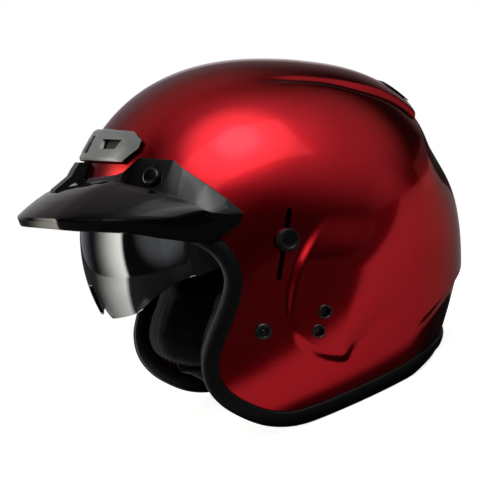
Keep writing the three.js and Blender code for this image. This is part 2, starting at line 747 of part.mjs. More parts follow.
// ---- pieces that lie on the front and top of the shell --------------------------------------
function onFront(x, z, lift = 0) {
  const left = 1 - Math.abs(x / SHELL.x) ** EXPONENT - Math.abs(z / SHELL.top) ** EXPONENT;
  const base = v3(x, -SHELL.front * left ** (1 / EXPONENT), z);
  const normal = surfaceNormal(base, SHELL);
  return { point: base.addScaledVector(normal, lift), normal };
}

function onTop(x, y, lift) {
  const left = 1 - Math.abs(x / SHELL.x) ** EXPONENT - Math.abs(y / SHELL.rear) ** EXPONENT;
  const base = v3(x, y, SHELL.top * left ** (1 / EXPONENT));
  const normal = surfaceNormal(base, SHELL);
  return { point: base.clone().addScaledVector(normal, relief(base) + lift), normal };
}

// A plate that follows the shell under an outline. height(share) is the height of its outer
// face, where share runs from 0 in the middle to 1 at the edge.
function shellPlate(outline, centre, place, { underside, height, shares }) {
  const ring = (share, lift) => outline.map(([a, b]) => place(
    centre[0] + (a - centre[0]) * share,
    centre[1] + (b - centre[1]) * share,
    lift,
  ).point);
  const top = shares.map((share) => ring(share, height(share)));
  const under = [...shares].reverse().map((share) => ring(share, underside));
  return dish([...top, ...under]);
}

// Splits each side of an outline so that it can follow a curved surface.
function dense(outline, step) {
  return outline.flatMap(([x0, z0], i) => {
    const [x1, z1] = outline[(i + 1) % outline.length];
    const parts = Math.max(1, Math.round(Math.hypot(x1 - x0, z1 - z0) / step));
    return Array.from({ length: parts }, (_, k) => [x0 + (x1 - x0) * k / parts, z0 + (z1 - z0) * k / parts]);
  });
}

function bothSides(left) {
  return [...left, ...left.filter(([x]) => x > 0).map(([x, z]) => [-x, z]).reverse()];
}

// ---- forehead vent --------------------------------------------------------------------------
const VENT_Z = 87;
const VENT_OUTLINE = bothSides([
  [0, 98], [15, 98.3], [54, 96], [64.5, 90], [66, 84.5], [59, 75.5], [16, 76.5], [0, 76.5],
]);
const VENT_WINDOW = [[26, 92.5], [52, 91.8], [50, 85.5], [30, 85.5]];

function ventCover() {
  const cover = shellPlate(dense(VENT_OUTLINE, 12), [0, VENT_Z], onFront, {
    underside: 2.3, height: (share) => 4.4 - 1 * smooth(0.75, 1, share), shares: [0.14, 0.45, 0.78, 1],
  });
  const window = ventWindowTool();
  return subtract(cover, window, mirrored(window), ventSlotTool());
}

// A block through the cover, straight back from the front.
function ventWindowTool() {
  const shape = new THREE.Shape(VENT_WINDOW.map(([x, z]) => new THREE.Vector2(x, z)));
  const tool = new THREE.ExtrudeGeometry(shape, { depth: 60, bevelEnabled: false });
  return tool.translate(0, 0, 80).rotateX(Math.PI / 2);
}

const VENT_SLOT = { width: 9, height: 14 };
const VENT_TRAVEL = 5;

function ventSlotTool() {
  const tool = new THREE.BoxGeometry(VENT_SLOT.width, VENT_SLOT.height, 20);
  return seat(tool, onFront(0, VENT_Z));
}

// Thin black base under the cover, with the same outline but a little smaller.
function ventBase() {
  const outline = dense(VENT_OUTLINE.map(([x, z]) => [x * 0.93, VENT_Z + (z - VENT_Z) * 0.86]), 11);
  return shellPlate(outline, [0, VENT_Z], onFront, {
    underside: 0.6, height: () => 1.4, shares: [0.14, 0.45, 0.8, 1],
  });
}

function ventSlider() {
  const tab = new THREE.BoxGeometry(VENT_SLOT.width - 1, VENT_SLOT.height - VENT_TRAVEL - 1, 2.8);
  tab.translate(0, -VENT_TRAVEL / 2, 0);
  return seat(tab, onFront(0, VENT_Z, 3.8));
}

// ---- peak -----------------------------------------------------------------------------------
// The peak is drawn by lines from its middle to its left rear corner: the top edge of the ears,
// the crease where it turns away from the shell, a fold halfway down, the brim, and the foot of
// the skirt below the brim. The crease is given by [x, z, height over the paint], and the skirt
// by its height and by how far it tucks in.
const PEAK_TOP = [
  [0, 63], [30, 64.5], [60, 67], [64.5, 69], [71, 78.5], [88.5, 77], [93.5, 72],
  [104.5, 61], [111, 51.5], [115.2, 42],
];
const PEAK_CREASE = [
  [0, 60, 3.4], [30, 61, 3.4], [58, 62.5, 3.4], [65, 61.5, 3.4], [68.5, 60.5, 3.4],
  [91, 55, 4.6], [98, 51.5, 5.6], [105, 47, 7.6], [109.3, 42, 8.6], [115, 40.5, 3.4],
];
const PEAK_BRIM = [
  [0, -179.6, 37.5], [30, -175, 38], [52, -165.5, 38], [60, -160, 38], [70, -151.5, 38],
  [88, -132, 38], [96, -120, 38], [107, -99, 38.2], [116.8, -70, 39.8], [118.6, -50, 39.5],
];
const PEAK_CROWN = 0.08;            // rise of the fold, as a share of the way from crease to brim
const PEAK_SKIRT = [6.5, 7, 7.5, 8, 8.5, 9, 9.5, 13, 16, 4];
const PEAK_TUCK = [2.5, 2.5, 2.5, 2.5, 2.5, 2.5, 2, 1.2, 0, 0.3];
const PEAK_LIFT = 1.2;
const PEAK_THICK = 2.2;

function bothWays(left) {
  const right = left.slice(1).map((p) => v3(-p.x, p.y, p.z)).reverse();
  return new THREE.CatmullRomCurve3([...right, ...left], false, 'centripetal');
}

function peakLines() {
  const top = PEAK_TOP.map(([x, z]) => onFront(x, z, PEAK_LIFT + PEAK_THICK).point);
  const topBack = PEAK_TOP.map(([x, z]) => onFront(x, z, PEAK_LIFT).point);
  const brim = PEAK_BRIM.map(([x, y, z]) => v3(x, y, z));
  const creaseAt = (depth) => PEAK_CREASE.map(([x, z, lift]) => onFront(x, z, lift - depth).point);
  const crease = creaseAt(0);
  const fold = crease.map((foot, i) => {
    const crown = PEAK_CROWN * foot.distanceTo(brim[i]);
    return foot.clone().lerp(brim[i], 0.5).add(v3(0, 0, crown));
  });
  const inward = brim.map((p) => v3(-p.x, -40 - p.y, 0).normalize());
  const skirt = brim.map((p, i) => p.clone().addScaledVector(inward[i], PEAK_TUCK[i]).add(v3(0, 0, -PEAK_SKIRT[i])));
  const inside = (line, drop) => line.map((p, i) => p.clone().addScaledVector(inward[i], PEAK_THICK).add(v3(0, 0, drop)));
  return [
    top, crease, fold, brim, skirt,
    inside(skirt, 0), inside(brim, -1.6), inside(fold, -2.2), creaseAt(PEAK_THICK), topBack,
  ];
}

function peak() {
  const lines = peakLines().map(bothWays);
  const count = 48;
  const sections = Array.from({ length: count + 1 }, (_, i) => lines.map((line) => line.getPoint(i / count)));
  const body = loft(sections);
  const hole = holeTool(onFront(PEAK_BUTTON.x, PEAK_BUTTON.z), 3);
  return subtract(body, hole, mirrored(hole));
}

// Snap button in each ear of the peak. Its shank goes through the peak and the shell.
function peakButton() {
  const lift = PEAK_LIFT + PEAK_THICK;
  const profile = [[0, -5.5], [2.4, -5.5], [2.4, lift + 0.5], [6.2, lift + 0.5], [6.2, lift + 2], [5, lift + 3], [0, lift + 3.4]];
  return seat(lathe(profile, 18), onFront(PEAK_BUTTON.x, PEAK_BUTTON.z));
}

const PEAK_CLIP_Z = 70.5;

// Clip that holds the middle of the peak: a rib over the peak and a block on the shell.
function peakCentreClip() {
  const side = [
    [-156, 53.5], [-155, 57], [-143.5, 66.4], [-141, 71], [-137.5, 76.2],
    [-130.6, 76.2], [-132.8, 70.5], [-134.4, 65.2], [-140, 62.4],
  ];
  const block = slab(new THREE.Shape(side.map(([y, z]) => new THREE.Vector2(y, z))), -9, 9);
  const clearance = peak().translate(0, -0.3, 0.5);
  const shank = new THREE.CylinderGeometry(2.4, 2.4, 9, 12).rotateX(Math.PI / 2);
  return union(subtract(block, clearance), seat(shank, onFront(0, PEAK_CLIP_Z)));
}

// Black exhaust vent at the end of the raised panel, just before the step.
function exhaustVent() {
  const outline = dense(bothSides([[0, 80], [36, 80], [40, 93], [0, 93]]), 9);
  return shellPlate(outline, [0, 87], onTop, {
    underside: 0.7, height: () => 1.9, shares: [0.15, 0.5, 1],
  });
}

// ---- the assembled helmet -------------------------------------------------------------------
const head = new THREE.Group();

function add(name, geometry, colour, roughness = 0.6, metalness = 0) {
  const material = new THREE.MeshStandardMaterial({ color: colour, roughness, metalness });
  const mesh = new THREE.Mesh(geometry, material);
  mesh.name = name;
  head.add(mesh);
}

function addPair(name, geometry, colour, roughness, metalness) {
  add(`${name}_left`, geometry, colour, roughness, metalness);
  add(`${name}_right`, mirrored(geometry), colour, roughness, metalness);
}

const FOAM = 0x2b2b2d;
const FABRIC = 0x17181a;
const STEEL = 0xb8bbbe;
const DARK_STEEL = 0x4a4d50;

add('outer_shell', outerShell(), RED, 0.2, 0.1);
add('edge_trim', flatFooted(edgeTrim()), BLACK, 0.7);
add('foam_liner', foamLiner(), FOAM, 0.9);
add('crown_liner', crownLiner(), FABRIC, 0.95);
addPair('cheek_pad', cheekPad(), FABRIC, 0.95);
add('neck_roll', neckRoll(), FABRIC, 0.95);
add('peak', peak(), BLACK, 0.15);
addPair('peak_button', peakButton(), BLACK, 0.3);
add('peak_centre_clip', peakCentreClip(), BLACK, 0.4);
add('vent_cover', ventCover(), 0x8a918d, 0.35, 0.5);
add('vent_base', ventBase(), BLACK, 0.6);
add('vent_slider', ventSlider(), BLACK, 0.5);
add('exhaust_vent', exhaustVent(), BLACK, 0.5);
add('sun_lens', sunLens(), 0x3c4650, 0.05, 0.4);
add('lens_arm_left', lensArm(true), BLACK, 0.5);
add('lens_arm_right', mirrored(lensArm(false)), BLACK, 0.5);
addPair('lens_bracket', lensBracket(), BLACK, 0.5);
addPair('pivot_screw', pivotScrew(), STEEL, 0.3, 1);
add('slider_knob', sliderKnob(), BLACK, 0.4);
add('slider_carriage', sliderCarriage(), BLACK, 0.5);
add('chin_strap_left', leftStrap(), BLACK, 0.9);
add('chin_strap_right', rightStrap(), BLACK, 0.9);
add('d_ring_upper', dRing(1.9), STEEL, 0.3, 1);
add('d_ring_lower', dRing(-1.9), STEEL, 0.3, 1);
addPair('strap_snap', strapSnap(), DARK_STEEL, 0.3, 1);
addPair('strap_hanger', strapHanger(), STEEL, 0.4, 1);
addPair('side_socket_upper', sideSocket(SOCKETS[0]), DARK_STEEL, 0.3, 1);
addPair('side_socket_lower', sideSocket(SOCKETS[1]), DARK_STEEL, 0.3, 1);

// The finished helmet leans back on its lower rim, with the middle of its footprint at the origin.
const helmet = new THREE.Group();
helmet.name = 'helmet';
helmet.add(head);
head.rotation.x = -LEAN;
const extent = new THREE.Box3().setFromObject(helmet, true);
const middle = extent.getCenter(v3(0, 0, 0));
head.position.set(-middle.x, -middle.y, -extent.min.z);

export default helmet;
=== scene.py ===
"""Candy-red open-face motorcycle helmet in a pale studio.

Shapes are drawn in the head frame, in millimetres: +X is the wearer's left, +Y the back of the
head, +Z up, with the origin at the middle of the shell. HEAD carries them into the row frame.
"""
import json
import math

import bmesh
import bpy
import numpy as np
from mathutils import Matrix, Vector


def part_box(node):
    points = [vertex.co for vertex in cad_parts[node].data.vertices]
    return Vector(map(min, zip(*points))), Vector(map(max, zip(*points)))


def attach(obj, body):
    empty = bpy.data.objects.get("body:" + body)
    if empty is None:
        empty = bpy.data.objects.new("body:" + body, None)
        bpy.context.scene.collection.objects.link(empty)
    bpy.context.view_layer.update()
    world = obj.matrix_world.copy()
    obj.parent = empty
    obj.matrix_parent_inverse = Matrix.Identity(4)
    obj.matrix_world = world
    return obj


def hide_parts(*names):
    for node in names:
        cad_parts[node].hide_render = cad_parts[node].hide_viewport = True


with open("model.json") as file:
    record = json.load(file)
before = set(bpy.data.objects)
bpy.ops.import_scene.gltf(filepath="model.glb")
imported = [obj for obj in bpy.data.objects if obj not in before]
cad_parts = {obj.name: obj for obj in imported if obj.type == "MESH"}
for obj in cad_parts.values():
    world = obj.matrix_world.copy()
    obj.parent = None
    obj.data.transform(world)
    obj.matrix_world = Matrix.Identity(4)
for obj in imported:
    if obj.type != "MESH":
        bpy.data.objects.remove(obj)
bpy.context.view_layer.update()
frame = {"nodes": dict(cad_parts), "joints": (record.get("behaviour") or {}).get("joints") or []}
JOINTS = {joint["name"]: joint for joint in frame["joints"]}

# ---- the head frame -------------------------------------------------------------------------
MM = 0.001
LEAN = math.radians(21)
LENS_PIVOT = Vector((0, -19, 24))
TURN = Matrix.Rotation(-LEAN, 4, "X")
ORIGIN = Vector(JOINTS["lens_tilt"]["pos_m"]) - TURN @ (LENS_PIVOT * MM)
HEAD = Matrix.Translation(ORIGIN) @ TURN @ Matrix.Scale(MM, 4)

# ---- camera ---------------------------------------------------------------------------------
CAMERA_TURN, CAMERA_RISE = 16, 3    # degrees, from square on to the wearer's left side
CAMERA_DISTANCE = 1500
VIEW_WIDTH = 349.6                  # what the frame spans at that distance
SENSOR = 36
FRAME_SHIFT = (-0.05, 0.0563)       # how far the frame's middle is off the helmet's, in frame widths


def toward(turn, rise):
    """Unit vector in the head frame, turn degrees from the left side to the front."""
    turn, rise = math.radians(turn), math.radians(rise)
    return Vector((math.cos(turn) * math.cos(rise), -math.sin(turn) * math.cos(rise), math.sin(rise)))


def make_camera():
    data = bpy.data.cameras.new("camera")
    data.sensor_width = SENSOR
    data.lens = SENSOR * CAMERA_DISTANCE / VIEW_WIDTH
    data.shift_x, data.shift_y = FRAME_SHIFT
    data.clip_start, data.clip_end = 0.1, 20
    camera = bpy.data.objects.new("camera", data)
    back = toward(CAMERA_TURN, CAMERA_RISE)
    right = toward(CAMERA_TURN - 90, 0)
    axes = Matrix((right, back.cross(right), back)).transposed().to_4x4()
    camera.matrix_world = Matrix.Translation(HEAD @ (back * CAMERA_DISTANCE)) @ TURN @ axes
    bpy.context.scene.collection.objects.link(camera)
    bpy.context.scene.camera = camera


make_camera()

# ---- number helpers -------------------------------------------------------------------------


def ease(start, end, value):
    """0 before start, 1 after end, and smooth between them."""
    t = np.clip((value - start) / (end - start), 0, 1)
    return t * t * (3 - 2 * t)


def unit(v):
    """Vectors scaled to length 1."""
    return v / np.maximum(np.linalg.norm(v, axis=-1, keepdims=True), 1e-12)


def catmull_span(a, b, c, d, t):
    """Points at the shares t of the way from b to c on the curve through a, b, c and d."""
    ab, bc, cd = (
        np.maximum(np.linalg.norm(v, axis=-1, keepdims=True) ** 0.5, 1e-3) for v in (b - a, c - b, d - c)
    )
    m1 = (c - b) - bc * ((c - a) / (ab + bc) - (b - a) / ab)
    m2 = (c - b) - bc * ((d - b) / (bc + cd) - (d - c) / cd)
    return b + m1 * t + (-3 * b + 3 * c - 2 * m1 - m2) * t**2 + (2 * b - 2 * c + m1 + m2) * t**3


def carried(points, matrix):
    """Points moved by a 4x4 matrix."""
    m = np.array(matrix)
    return points @ m[:3, :3].T + m[:3, 3]


def catmull(points, count, closed=False):
    """count points, evenly spaced, on the centripetal Catmull-Rom curve through points."""
    p = np.asarray(points, float)
    if closed:
        p = np.vstack([p[-1], p, p[0], p[1]])
    else:
        p = np.vstack([2 * p[0] - p[1], p, 2 * p[-1] - p[-2]])
    t = np.linspace(0, 1, 40, endpoint=False)[:, None]
    curve = [catmull_span(*four, t) for four in zip(p[:-3], p[1:-2], p[2:-1], p[3:])]
    curve = np.vstack(curve + [p[-2][None]])
    walked = np.concatenate([[0], np.cumsum(np.linalg.norm(np.diff(curve, axis=0), axis=1))])
    at = np.linspace(0, walked[-1], count, endpoint=not closed)
    return np.stack([np.interp(at, walked, curve[:, k]) for k in range(p.shape[1])], axis=1)


# ---- the shell surface ----------------------------------------------------------------------
# Every form is a superellipsoid: a half width x, then how far it reaches ahead, back, up and down.
EXPONENT = 2.33
SHELL = dict(x=122, front=143, rear=142, top=151, drop=190)
WALL = 3.5
HEAD_HOLLOW = dict(x=83, front=104, rear=112, top=113, drop=230)


def sizes(p, form):
    """The form's half sizes in the octant of each point."""
    depth = np.where(p[..., 1] < 0, form["front"], form["rear"])
    height = np.where(p[..., 2] > 0, form["top"], form["drop"])
    return np.stack([np.full_like(depth, form["x"], dtype=float), depth, height], axis=-1)


def on_superellipsoid(d, form):
    """Where rays from the origin along d meet the form."""
    scale = (np.abs(d / sizes(d, form)) ** EXPONENT).sum(-1, keepdims=True) ** (-1 / EXPONENT)
    return d * scale


def surface_normal(p, form):
    size = sizes(p, form)
    return unit(np.sign(p) * np.abs(p / size) ** (EXPONENT - 1) / size)


def remainder(*shares):
    """The share of the third half size that is left over the shares of the other two."""
    return max(0, 1 - sum(abs(share) ** EXPONENT for share in shares)) ** (1 / EXPONENT)


def side_width(y, z):
    depth = SHELL["front"] if y < 0 else SHELL["rear"]
    height = SHELL["top"] if z > 0 else SHELL["drop"]
    return SHELL["x"] * remainder(y / depth, z / height)


def spoiler(p):
    """Two ridges with a raised panel between them, ending in a step above the back."""
    x, y, z = np.abs(p[..., 0]), p[..., 1], p[..., 2]
    half_width = 61 - 9 * ease(40, 98, y)
    beside = x - half_width
    rise = 3.8 * ease(20, 92, y)
    groove = 1.5 * np.exp(-(((beside - 5.5) / 3.2) ** 2)) * ease(-30, 5, y) * (1 - ease(50, 88, y))
    ends = 1 - ease(94, 97.5, y)
    return np.where(z > 60, (rise * (1 - ease(0, 5, beside)) - groove) * ends, 0)


def back_flat(p):
    y, z = p[..., 1], p[..., 2]
    return 4 * np.exp(-(((z - 88) / 24) ** 2)) * ease(96, 116, y)


def nape_tuck(p):
    """Below a slanting lip the back of the shell tucks in toward the neck."""
    y, z = p[..., 1], p[..., 2]
    below = 3 - 0.68 * np.maximum(0, 134 - y) - z
    return (4 * ease(0, 5, below) + 0.22 * np.maximum(0, below - 9)) * ease(74, 118, y)


PANEL_STEP = 3.0                    # how far the side panel stands out
C_FRONT = (-17, -24)                # foremost point of the C-shaped step, as (y, z)
C_FOOT_Z = -56.5
C_CORNER = 5                        # softness of the corner between the curve and its foot


def side_panel(p):
    """Panel behind a C-shaped step on each side, fading out toward the back."""
    x, y, z = np.abs(p[..., 0]), p[..., 1], p[..., 2]
    over = z - C_FRONT[1]
    bend = np.where(over > 0, 0.0064, 0.02)
    behind = (y - C_FRONT[0] - bend * over**2) / np.sqrt(1 + (2 * bend * over) ** 2)
    insides = (np.exp(-np.clip(way, -60, 60) / C_CORNER) for way in (behind, z - C_FOOT_Z))
    inside = -C_CORNER * np.log(sum(insides))
    edge = ease(-4.2, 3.4, inside)
    high = ease(-60, -8, z)
    fade = (1 - ease(0, 1, (y - 20 - 4 * high) / (7 + 39 * high))) * (1 - ease(6, 42, z))
    return np.where(x > 60, PANEL_STEP * edge * fade, 0)


def relief(p):
    return spoiler(p) - back_flat(p) - nape_tuck(p) + side_panel(p)


def outer_point(d):
    """Points of the painted surface in directions from the origin."""
    p = on_superellipsoid(d, SHELL)
    return p + surface_normal(p, SHELL) * relief(p)[..., None]


def inner_point(d):
    """Points of the shell's inner face, which leaves out the spoiler and the side panels."""
    p = on_superellipsoid(d, SHELL)
    return p - surface_normal(p, SHELL) * (WALL + back_flat(p) + nape_tuck(p))[..., None]


def place(base, lift=0.0):
    """(point, outward normal) over the paint at a point of the plain superellipsoid."""
    base = np.asarray(base, float)
    normal = surface_normal(base, SHELL)
    return base + normal * (relief(base) + lift), normal


def plain_front(x, z):
    return np.array((x, -SHELL["front"] * remainder(x / SHELL["x"], z / SHELL["top"]), z))


def on_side(y, z):
    return place((side_width(y, z), y, z))


def on_front(x, z, lift=0.0):
    return place(plain_front(x, z), lift)


def on_top(x, y, lift=0.0):
    return place((x, y, SHELL["top"] * remainder(x / SHELL["x"], y / SHELL["rear"])), lift)


# ---- the rim --------------------------------------------------------------------------------
RIM_SIDE = [
    (-120, 36.5), (-97, 34), (-77, 27.5), (-62, 16), (-55, 1), (-56, -13), (-60.5, -28),
    (-66.5, -45), (-69, -58), (-66.5, -71), (-58.5, -82), (-44, -91.3), (-28, -97), (-10, -97.5),
    (10, -92), (35, -82.5), (66, -70.5), (95, -59),
]
BROW_Z, NAPE_Z = 37, -47
POLE_TILT = math.radians(47)
POLE = np.array((0, math.sin(POLE_TILT), math.cos(POLE_TILT)))
AHEAD = np.array((0, -math.cos(POLE_TILT), math.sin(POLE_TILT)))
ACROSS = np.array((1.0, 0, 0))


def rim_columns(count):
    """(turn round the pole, angle away from it) of points spread along the rim."""
    left = [(side_width(y, z), y, z) for y, z in RIM_SIDE]
    right = [(-x, y, z) for x, y, z in reversed(left)]
    brow = plain_front(0, BROW_Z)
    nape = (0, SHELL["rear"] * remainder(NAPE_Z / SHELL["drop"]), NAPE_Z)
    d = unit(catmull([brow, *left, nape, *right], count, closed=True))
    return np.arctan2(d @ ACROSS, d @ AHEAD), np.arccos(d @ POLE)


def polar(turn, away):
    turn, away = np.broadcast_arrays(turn, away)
    return (
        np.cos(away)[..., None] * POLE
        + (np.sin(away) * np.cos(turn))[..., None] * AHEAD
        + (np.sin(away) * np.sin(turn))[..., None] * ACROSS
    )


# ---- mesh helpers ---------------------------------------------------------------------------


def grid_faces(rows, columns, wrap_rows=False):
    """Quads of rows of points, numbered row by row, where each row is a closed ring."""
    i = np.arange(rows if wrap_rows else rows - 1)[:, None]
    j = np.arange(columns)[None, :]
    a, b = i * columns + j, i * columns + (j + 1) % columns
    up = ((i + 1) % rows) * columns
    return np.stack(np.broadcast_arrays(a, b, up + (j + 1) % columns, up + j), -1).reshape(-1, 4)


def new_mesh(name, points, faces):
    """A mesh in the row frame of points given in the head frame."""
    mesh = bpy.data.meshes.new(name)
    points = np.asarray(points, float).reshape(-1, 3).tolist()
    mesh.from_pydata(points, [], [list(map(int, face)) for face in faces])
    mesh.transform(HEAD)
    turn_outward(mesh)
    return mesh


def turn_outward(mesh):
    work = bmesh.new()
    work.from_mesh(mesh)
    bmesh.ops.recalc_face_normals(work, faces=work.faces)
    work.to_mesh(mesh)
    work.free()


def piece(name, mesh, material, body="helmet", replaces=(), slot=None, crease=None):
    """A shown object made of a mesh that is already in the row frame."""
    obj = bpy.data.objects.new(name, mesh)
    bpy.context.scene.collection.objects.link(obj)
    mesh.materials.clear()
    mesh.materials.append(material)
    mesh.shade_smooth()
    if crease is not None:
        mesh.set_sharp_from_angle(angle=math.radians(crease))
    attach(obj, body)
    if replaces:
        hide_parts(*replaces)
    return obj


def lofted(sections, closed_along=False):
    """(points, faces) of a tube through closed sections with the same number of points."""
    sections = np.asarray(sections, float)
    rows, columns = sections.shape[:2]
    faces = [list(f) for f in grid_faces(rows, columns, wrap_rows=closed_along)]
    if not closed_along:
        faces.append(list(range(columns))[::-1])
        faces.append(list(range((rows - 1) * columns, rows * columns)))
    return sections.reshape(-1, 3), faces


def lathe(profile, segments=64):
    """(points, faces) of a profile of (radius, height) pairs turned about +Z."""
    turn = np.linspace(0, 2 * np.pi, segments, endpoint=False)
    ring = np.stack([np.cos(turn), np.sin(turn)], -1)
    return lofted([np.column_stack([r * ring, np.full(segments, h)]) for r, h in profile])


def seat(points, where):
    """Moves points drawn round the origin, facing +Z, to face out of the shell."""
    point, normal = where
    x = unit(np.cross((0, 0, 1), normal))
    y = np.cross(normal, x)
    return points[:, :1] * x + points[:, 1:2] * y + points[:, 2:] * normal + point


def turned_part(profile, where, segments=64):
    """(points, faces) of a lathed part that faces out of the shell at a place on it."""
    points, faces = lathe(profile, segments)
    return seat(points, where), faces


def mirrored(mesh, name):
    """A copy of a mesh in the row frame for the other side of the head."""
    copy = mesh.copy()
    copy.name = name
    copy.transform(HEAD @ Matrix.Scale(-1, 4, (1, 0, 0)) @ HEAD.inverted())
    copy.flip_normals()
    return copy


def fine(node, shape, material, **options):
    """The shown piece that replaces a CAD node, from a mesh or from (points, faces)."""
    mesh = shape if isinstance(shape, bpy.types.Mesh) else new_mesh(node + "_fine", *shape)
    return piece(node + "_fine", mesh, material, replaces=[node], **options)


def pair(name, shape, material, **options):
    """The pieces for the CAD nodes name_left and name_right, the right one a mirror image."""
    left = fine(name + "_left", shape, material, **options)
    right = fine(name + "_right", mirrored(left.data, name + "_right_fine"), material, **options)
    return left, right


def rounded(corners, radius):
    """Replaces each corner of a closed outline with a short curve."""
    corners = [np.asarray(c, float) for c in corners]
    out = []
    for i, corner in enumerate(corners):
        before, after = corners[i - 1], corners[(i + 1) % len(corners)]
        for end in (before, after):
            gap = np.linalg.norm(end - corner)
            share = min(radius, 0.45 * gap) / max(gap, 1e-6)
            out.append(corner + (end - corner) * share)
        a, b = out[-2], out[-1]
        out.insert(-1, 0.25 * a + 0.5 * corner + 0.25 * b)
    return np.array(out)


# ---- material helpers -----------------------------------------------------------------------


class Graph:
    """Short ways to add nodes to a node tree."""

    def __init__(self, tree):
        self.nodes, self.links = tree.nodes, tree.links

    def node(self, kind, settings=(), **inputs):
        """A new node. An input named i0, i1 and so on is meant by its number."""
        node = self.nodes.new(kind)
        for key, value in dict(settings).items():
            setattr(node, key, value)
        for key, value in inputs.items():
            numbered = key[0] == "i" and key[1:].isdigit()
            self.fill(node.inputs[int(key[1:])] if numbered else node.inputs[key], value)
        return node

    def fill(self, socket, value):
        if isinstance(value, bpy.types.NodeSocket):
            self.links.new(value, socket)
        else:
            socket.default_value = value

    def math(self, operation, a, b=0.0):
        return self.node("ShaderNodeMath", {"operation": operation}, i0=a, i1=b).outputs[0]

    def vector(self, operation, a, b=(0, 0, 0), output="Vector"):
        return self.node("ShaderNodeVectorMath", {"operation": operation}, i0=a, i1=b).outputs[output]

    def between(self, low, high, value):
        """Maps a 0..1 value onto low..high."""
        node = self.node("ShaderNodeMapRange", Value=value)
        node.inputs["To Min"].default_value = low
        node.inputs["To Max"].default_value = high
        return node.outputs["Result"]

    def step(self, start, end, value, interpolation="LINEAR"):
        """0 up to start, 1 from end on."""
        node = self.node("ShaderNodeMapRange", {"interpolation_type": interpolation}, Value=value)
        node.inputs["From Min"].default_value = start
        node.inputs["From Max"].default_value = end
        return node.outputs["Result"]


class Look(Graph):
    """A material with one Principled shader."""

    def __init__(self, name, colour=(0.5, 0.5, 0.5), roughness=0.5, metallic=0.0, **inputs):
        self.material = bpy.data.materials.new(name)
        self.material.use_nodes = True
        super().__init__(self.material.node_tree)
        self.shader = self.nodes["Principled BSDF"]
        self.shader.inputs["Base Color"].default_value = (*colour, 1)
        self.shader.inputs["Roughness"].default_value = roughness
        self.shader.inputs["Metallic"].default_value = metallic
        for key, value in inputs.items():
            self.shader.inputs[key.replace("_", " ")].default_value = value
        self.place = self.node("ShaderNodeTexCoord").outputs["Object"]

    def noise(self, scale, detail=3.0, vector=None):
        vector = vector or self.place
        return self.node("ShaderNodeTexNoise", Vector=vector, Scale=scale, Detail=detail).outputs["Fac"]

    def cells(self, scale):
        return self.node("ShaderNodeTexVoronoi", Vector=self.place, Scale=scale).outputs

    def mix(self, fac, a, b):
        node = self.node("ShaderNodeMix", {"data_type": "RGBA"}, i0=fac)
        for number, value in ((6, a), (7, b)):
            self.fill(node.inputs[number], (*value, 1) if isinstance(value, tuple) else value)
        return node.outputs[2]

    def set(self, **inputs):
        for key, socket in inputs.items():
            self.links.new(socket, self.shader.inputs[key.replace("_", " ")])

    def bump(self, height, distance, strength=1.0, normal=None):
        node = self.node("ShaderNodeBump", Height=height, Distance=distance, Strength=strength)
        if normal is not None:
            self.links.new(normal, node.inputs["Normal"])
        self.links.new(node.outputs["Normal"], self.shader.inputs["Normal"])
        return node.outputs["Normal"]

    def show(self, shader):
        self.links.new(shader, self.nodes["Material Output"].inputs["Surface"])


def grey(value):
    return (value,) * 3


def candy_paint():
    """Dark red lacquer over metal flakes: the tint deepens where it's seen at a slant."""
    look = Look(
        "candy_paint", metallic=1.0, Coat_Weight=0.45, Coat_Roughness=0.06,
        Specular_Tint=(0.30, 0.02, 0.03, 1),
    )
    flakes = look.cells(2600)["Color"]
    sparkle = look.node("ShaderNodeSeparateColor", Color=flakes).outputs[0]
    facing = look.node("ShaderNodeLayerWeight", Blend=0.35).outputs["Facing"]
    tint = look.mix(look.between(0.0, 0.3, sparkle), (0.62, 0.0012, 0.010), (0.95, 0.006, 0.024))
    cloud = look.noise(9.0, 2.0)
    tint = look.mix(look.between(0.0, 0.12, cloud), tint, (0.30, 0.001, 0.003))
    look.set(Base_Color=look.mix(facing, tint, (0.16, 0.002, 0.006)))
    look.set(Roughness=look.between(0.16, 0.19, look.noise(240.0, 2.0)))
    look.bump(look.noise(900.0, 2.0), 0.00002, 0.2)
    return look.material


def moulded_black(name, roughness, grain, depth, colour=0.008, shine=0.5):
    """Black plastic or rubber with a fine moulded grain and a little dust in random patches."""
    look = Look(name, roughness=roughness, Specular_IOR_Level=shine)
    dust = look.noise(35.0, 4.0)
    look.set(Base_Color=look.mix(look.between(0.0, 0.5, dust), grey(colour), grey(colour * 2.1)))
    look.set(Roughness=look.between(roughness * 0.85, roughness * 1.15, look.noise(120.0, 3.0)))
    look.bump(look.noise(grain, 3.0), depth)
    return look.material


def metal(name, colour, roughness):
    look = Look(name, colour=colour, roughness=roughness, metallic=1.0)
    stretched = look.node("ShaderNodeMapping", Vector=look.place, Scale=(1.0, 1.0, 14.0)).outputs[0]
    look.set(Roughness=look.between(roughness * 0.7, roughness * 1.5, look.noise(400.0, 3.0, stretched)))
    look.bump(look.noise(900.0, 3.0, stretched), 0.00001, 0.5)
    return look.material


def knit(name, colour, cell, depth):
    """Brushed knit: rows of loops, a fuzzy sheen and slow creases."""
    look = Look(
        name, roughness=0.95, Sheen_Weight=0.07, Sheen_Roughness=0.5, Sheen_Tint=(0.5, 0.5, 0.55, 1),
        Specular_IOR_Level=0.2,
    )
    loops = look.cells(cell)["Distance"]
    creases = look.noise(38.0, 4.0)
    base = look.mix(loops, grey(colour * 1.8), grey(colour * 0.5))
    look.set(Base_Color=look.mix(look.between(0.0, 0.4, creases), base, grey(colour * 2.2)))
    slack = look.bump(look.noise(30.0, 5.0), 0.0022, 0.6)
    look.bump(loops, depth, 0.7, slack)
    return look.material


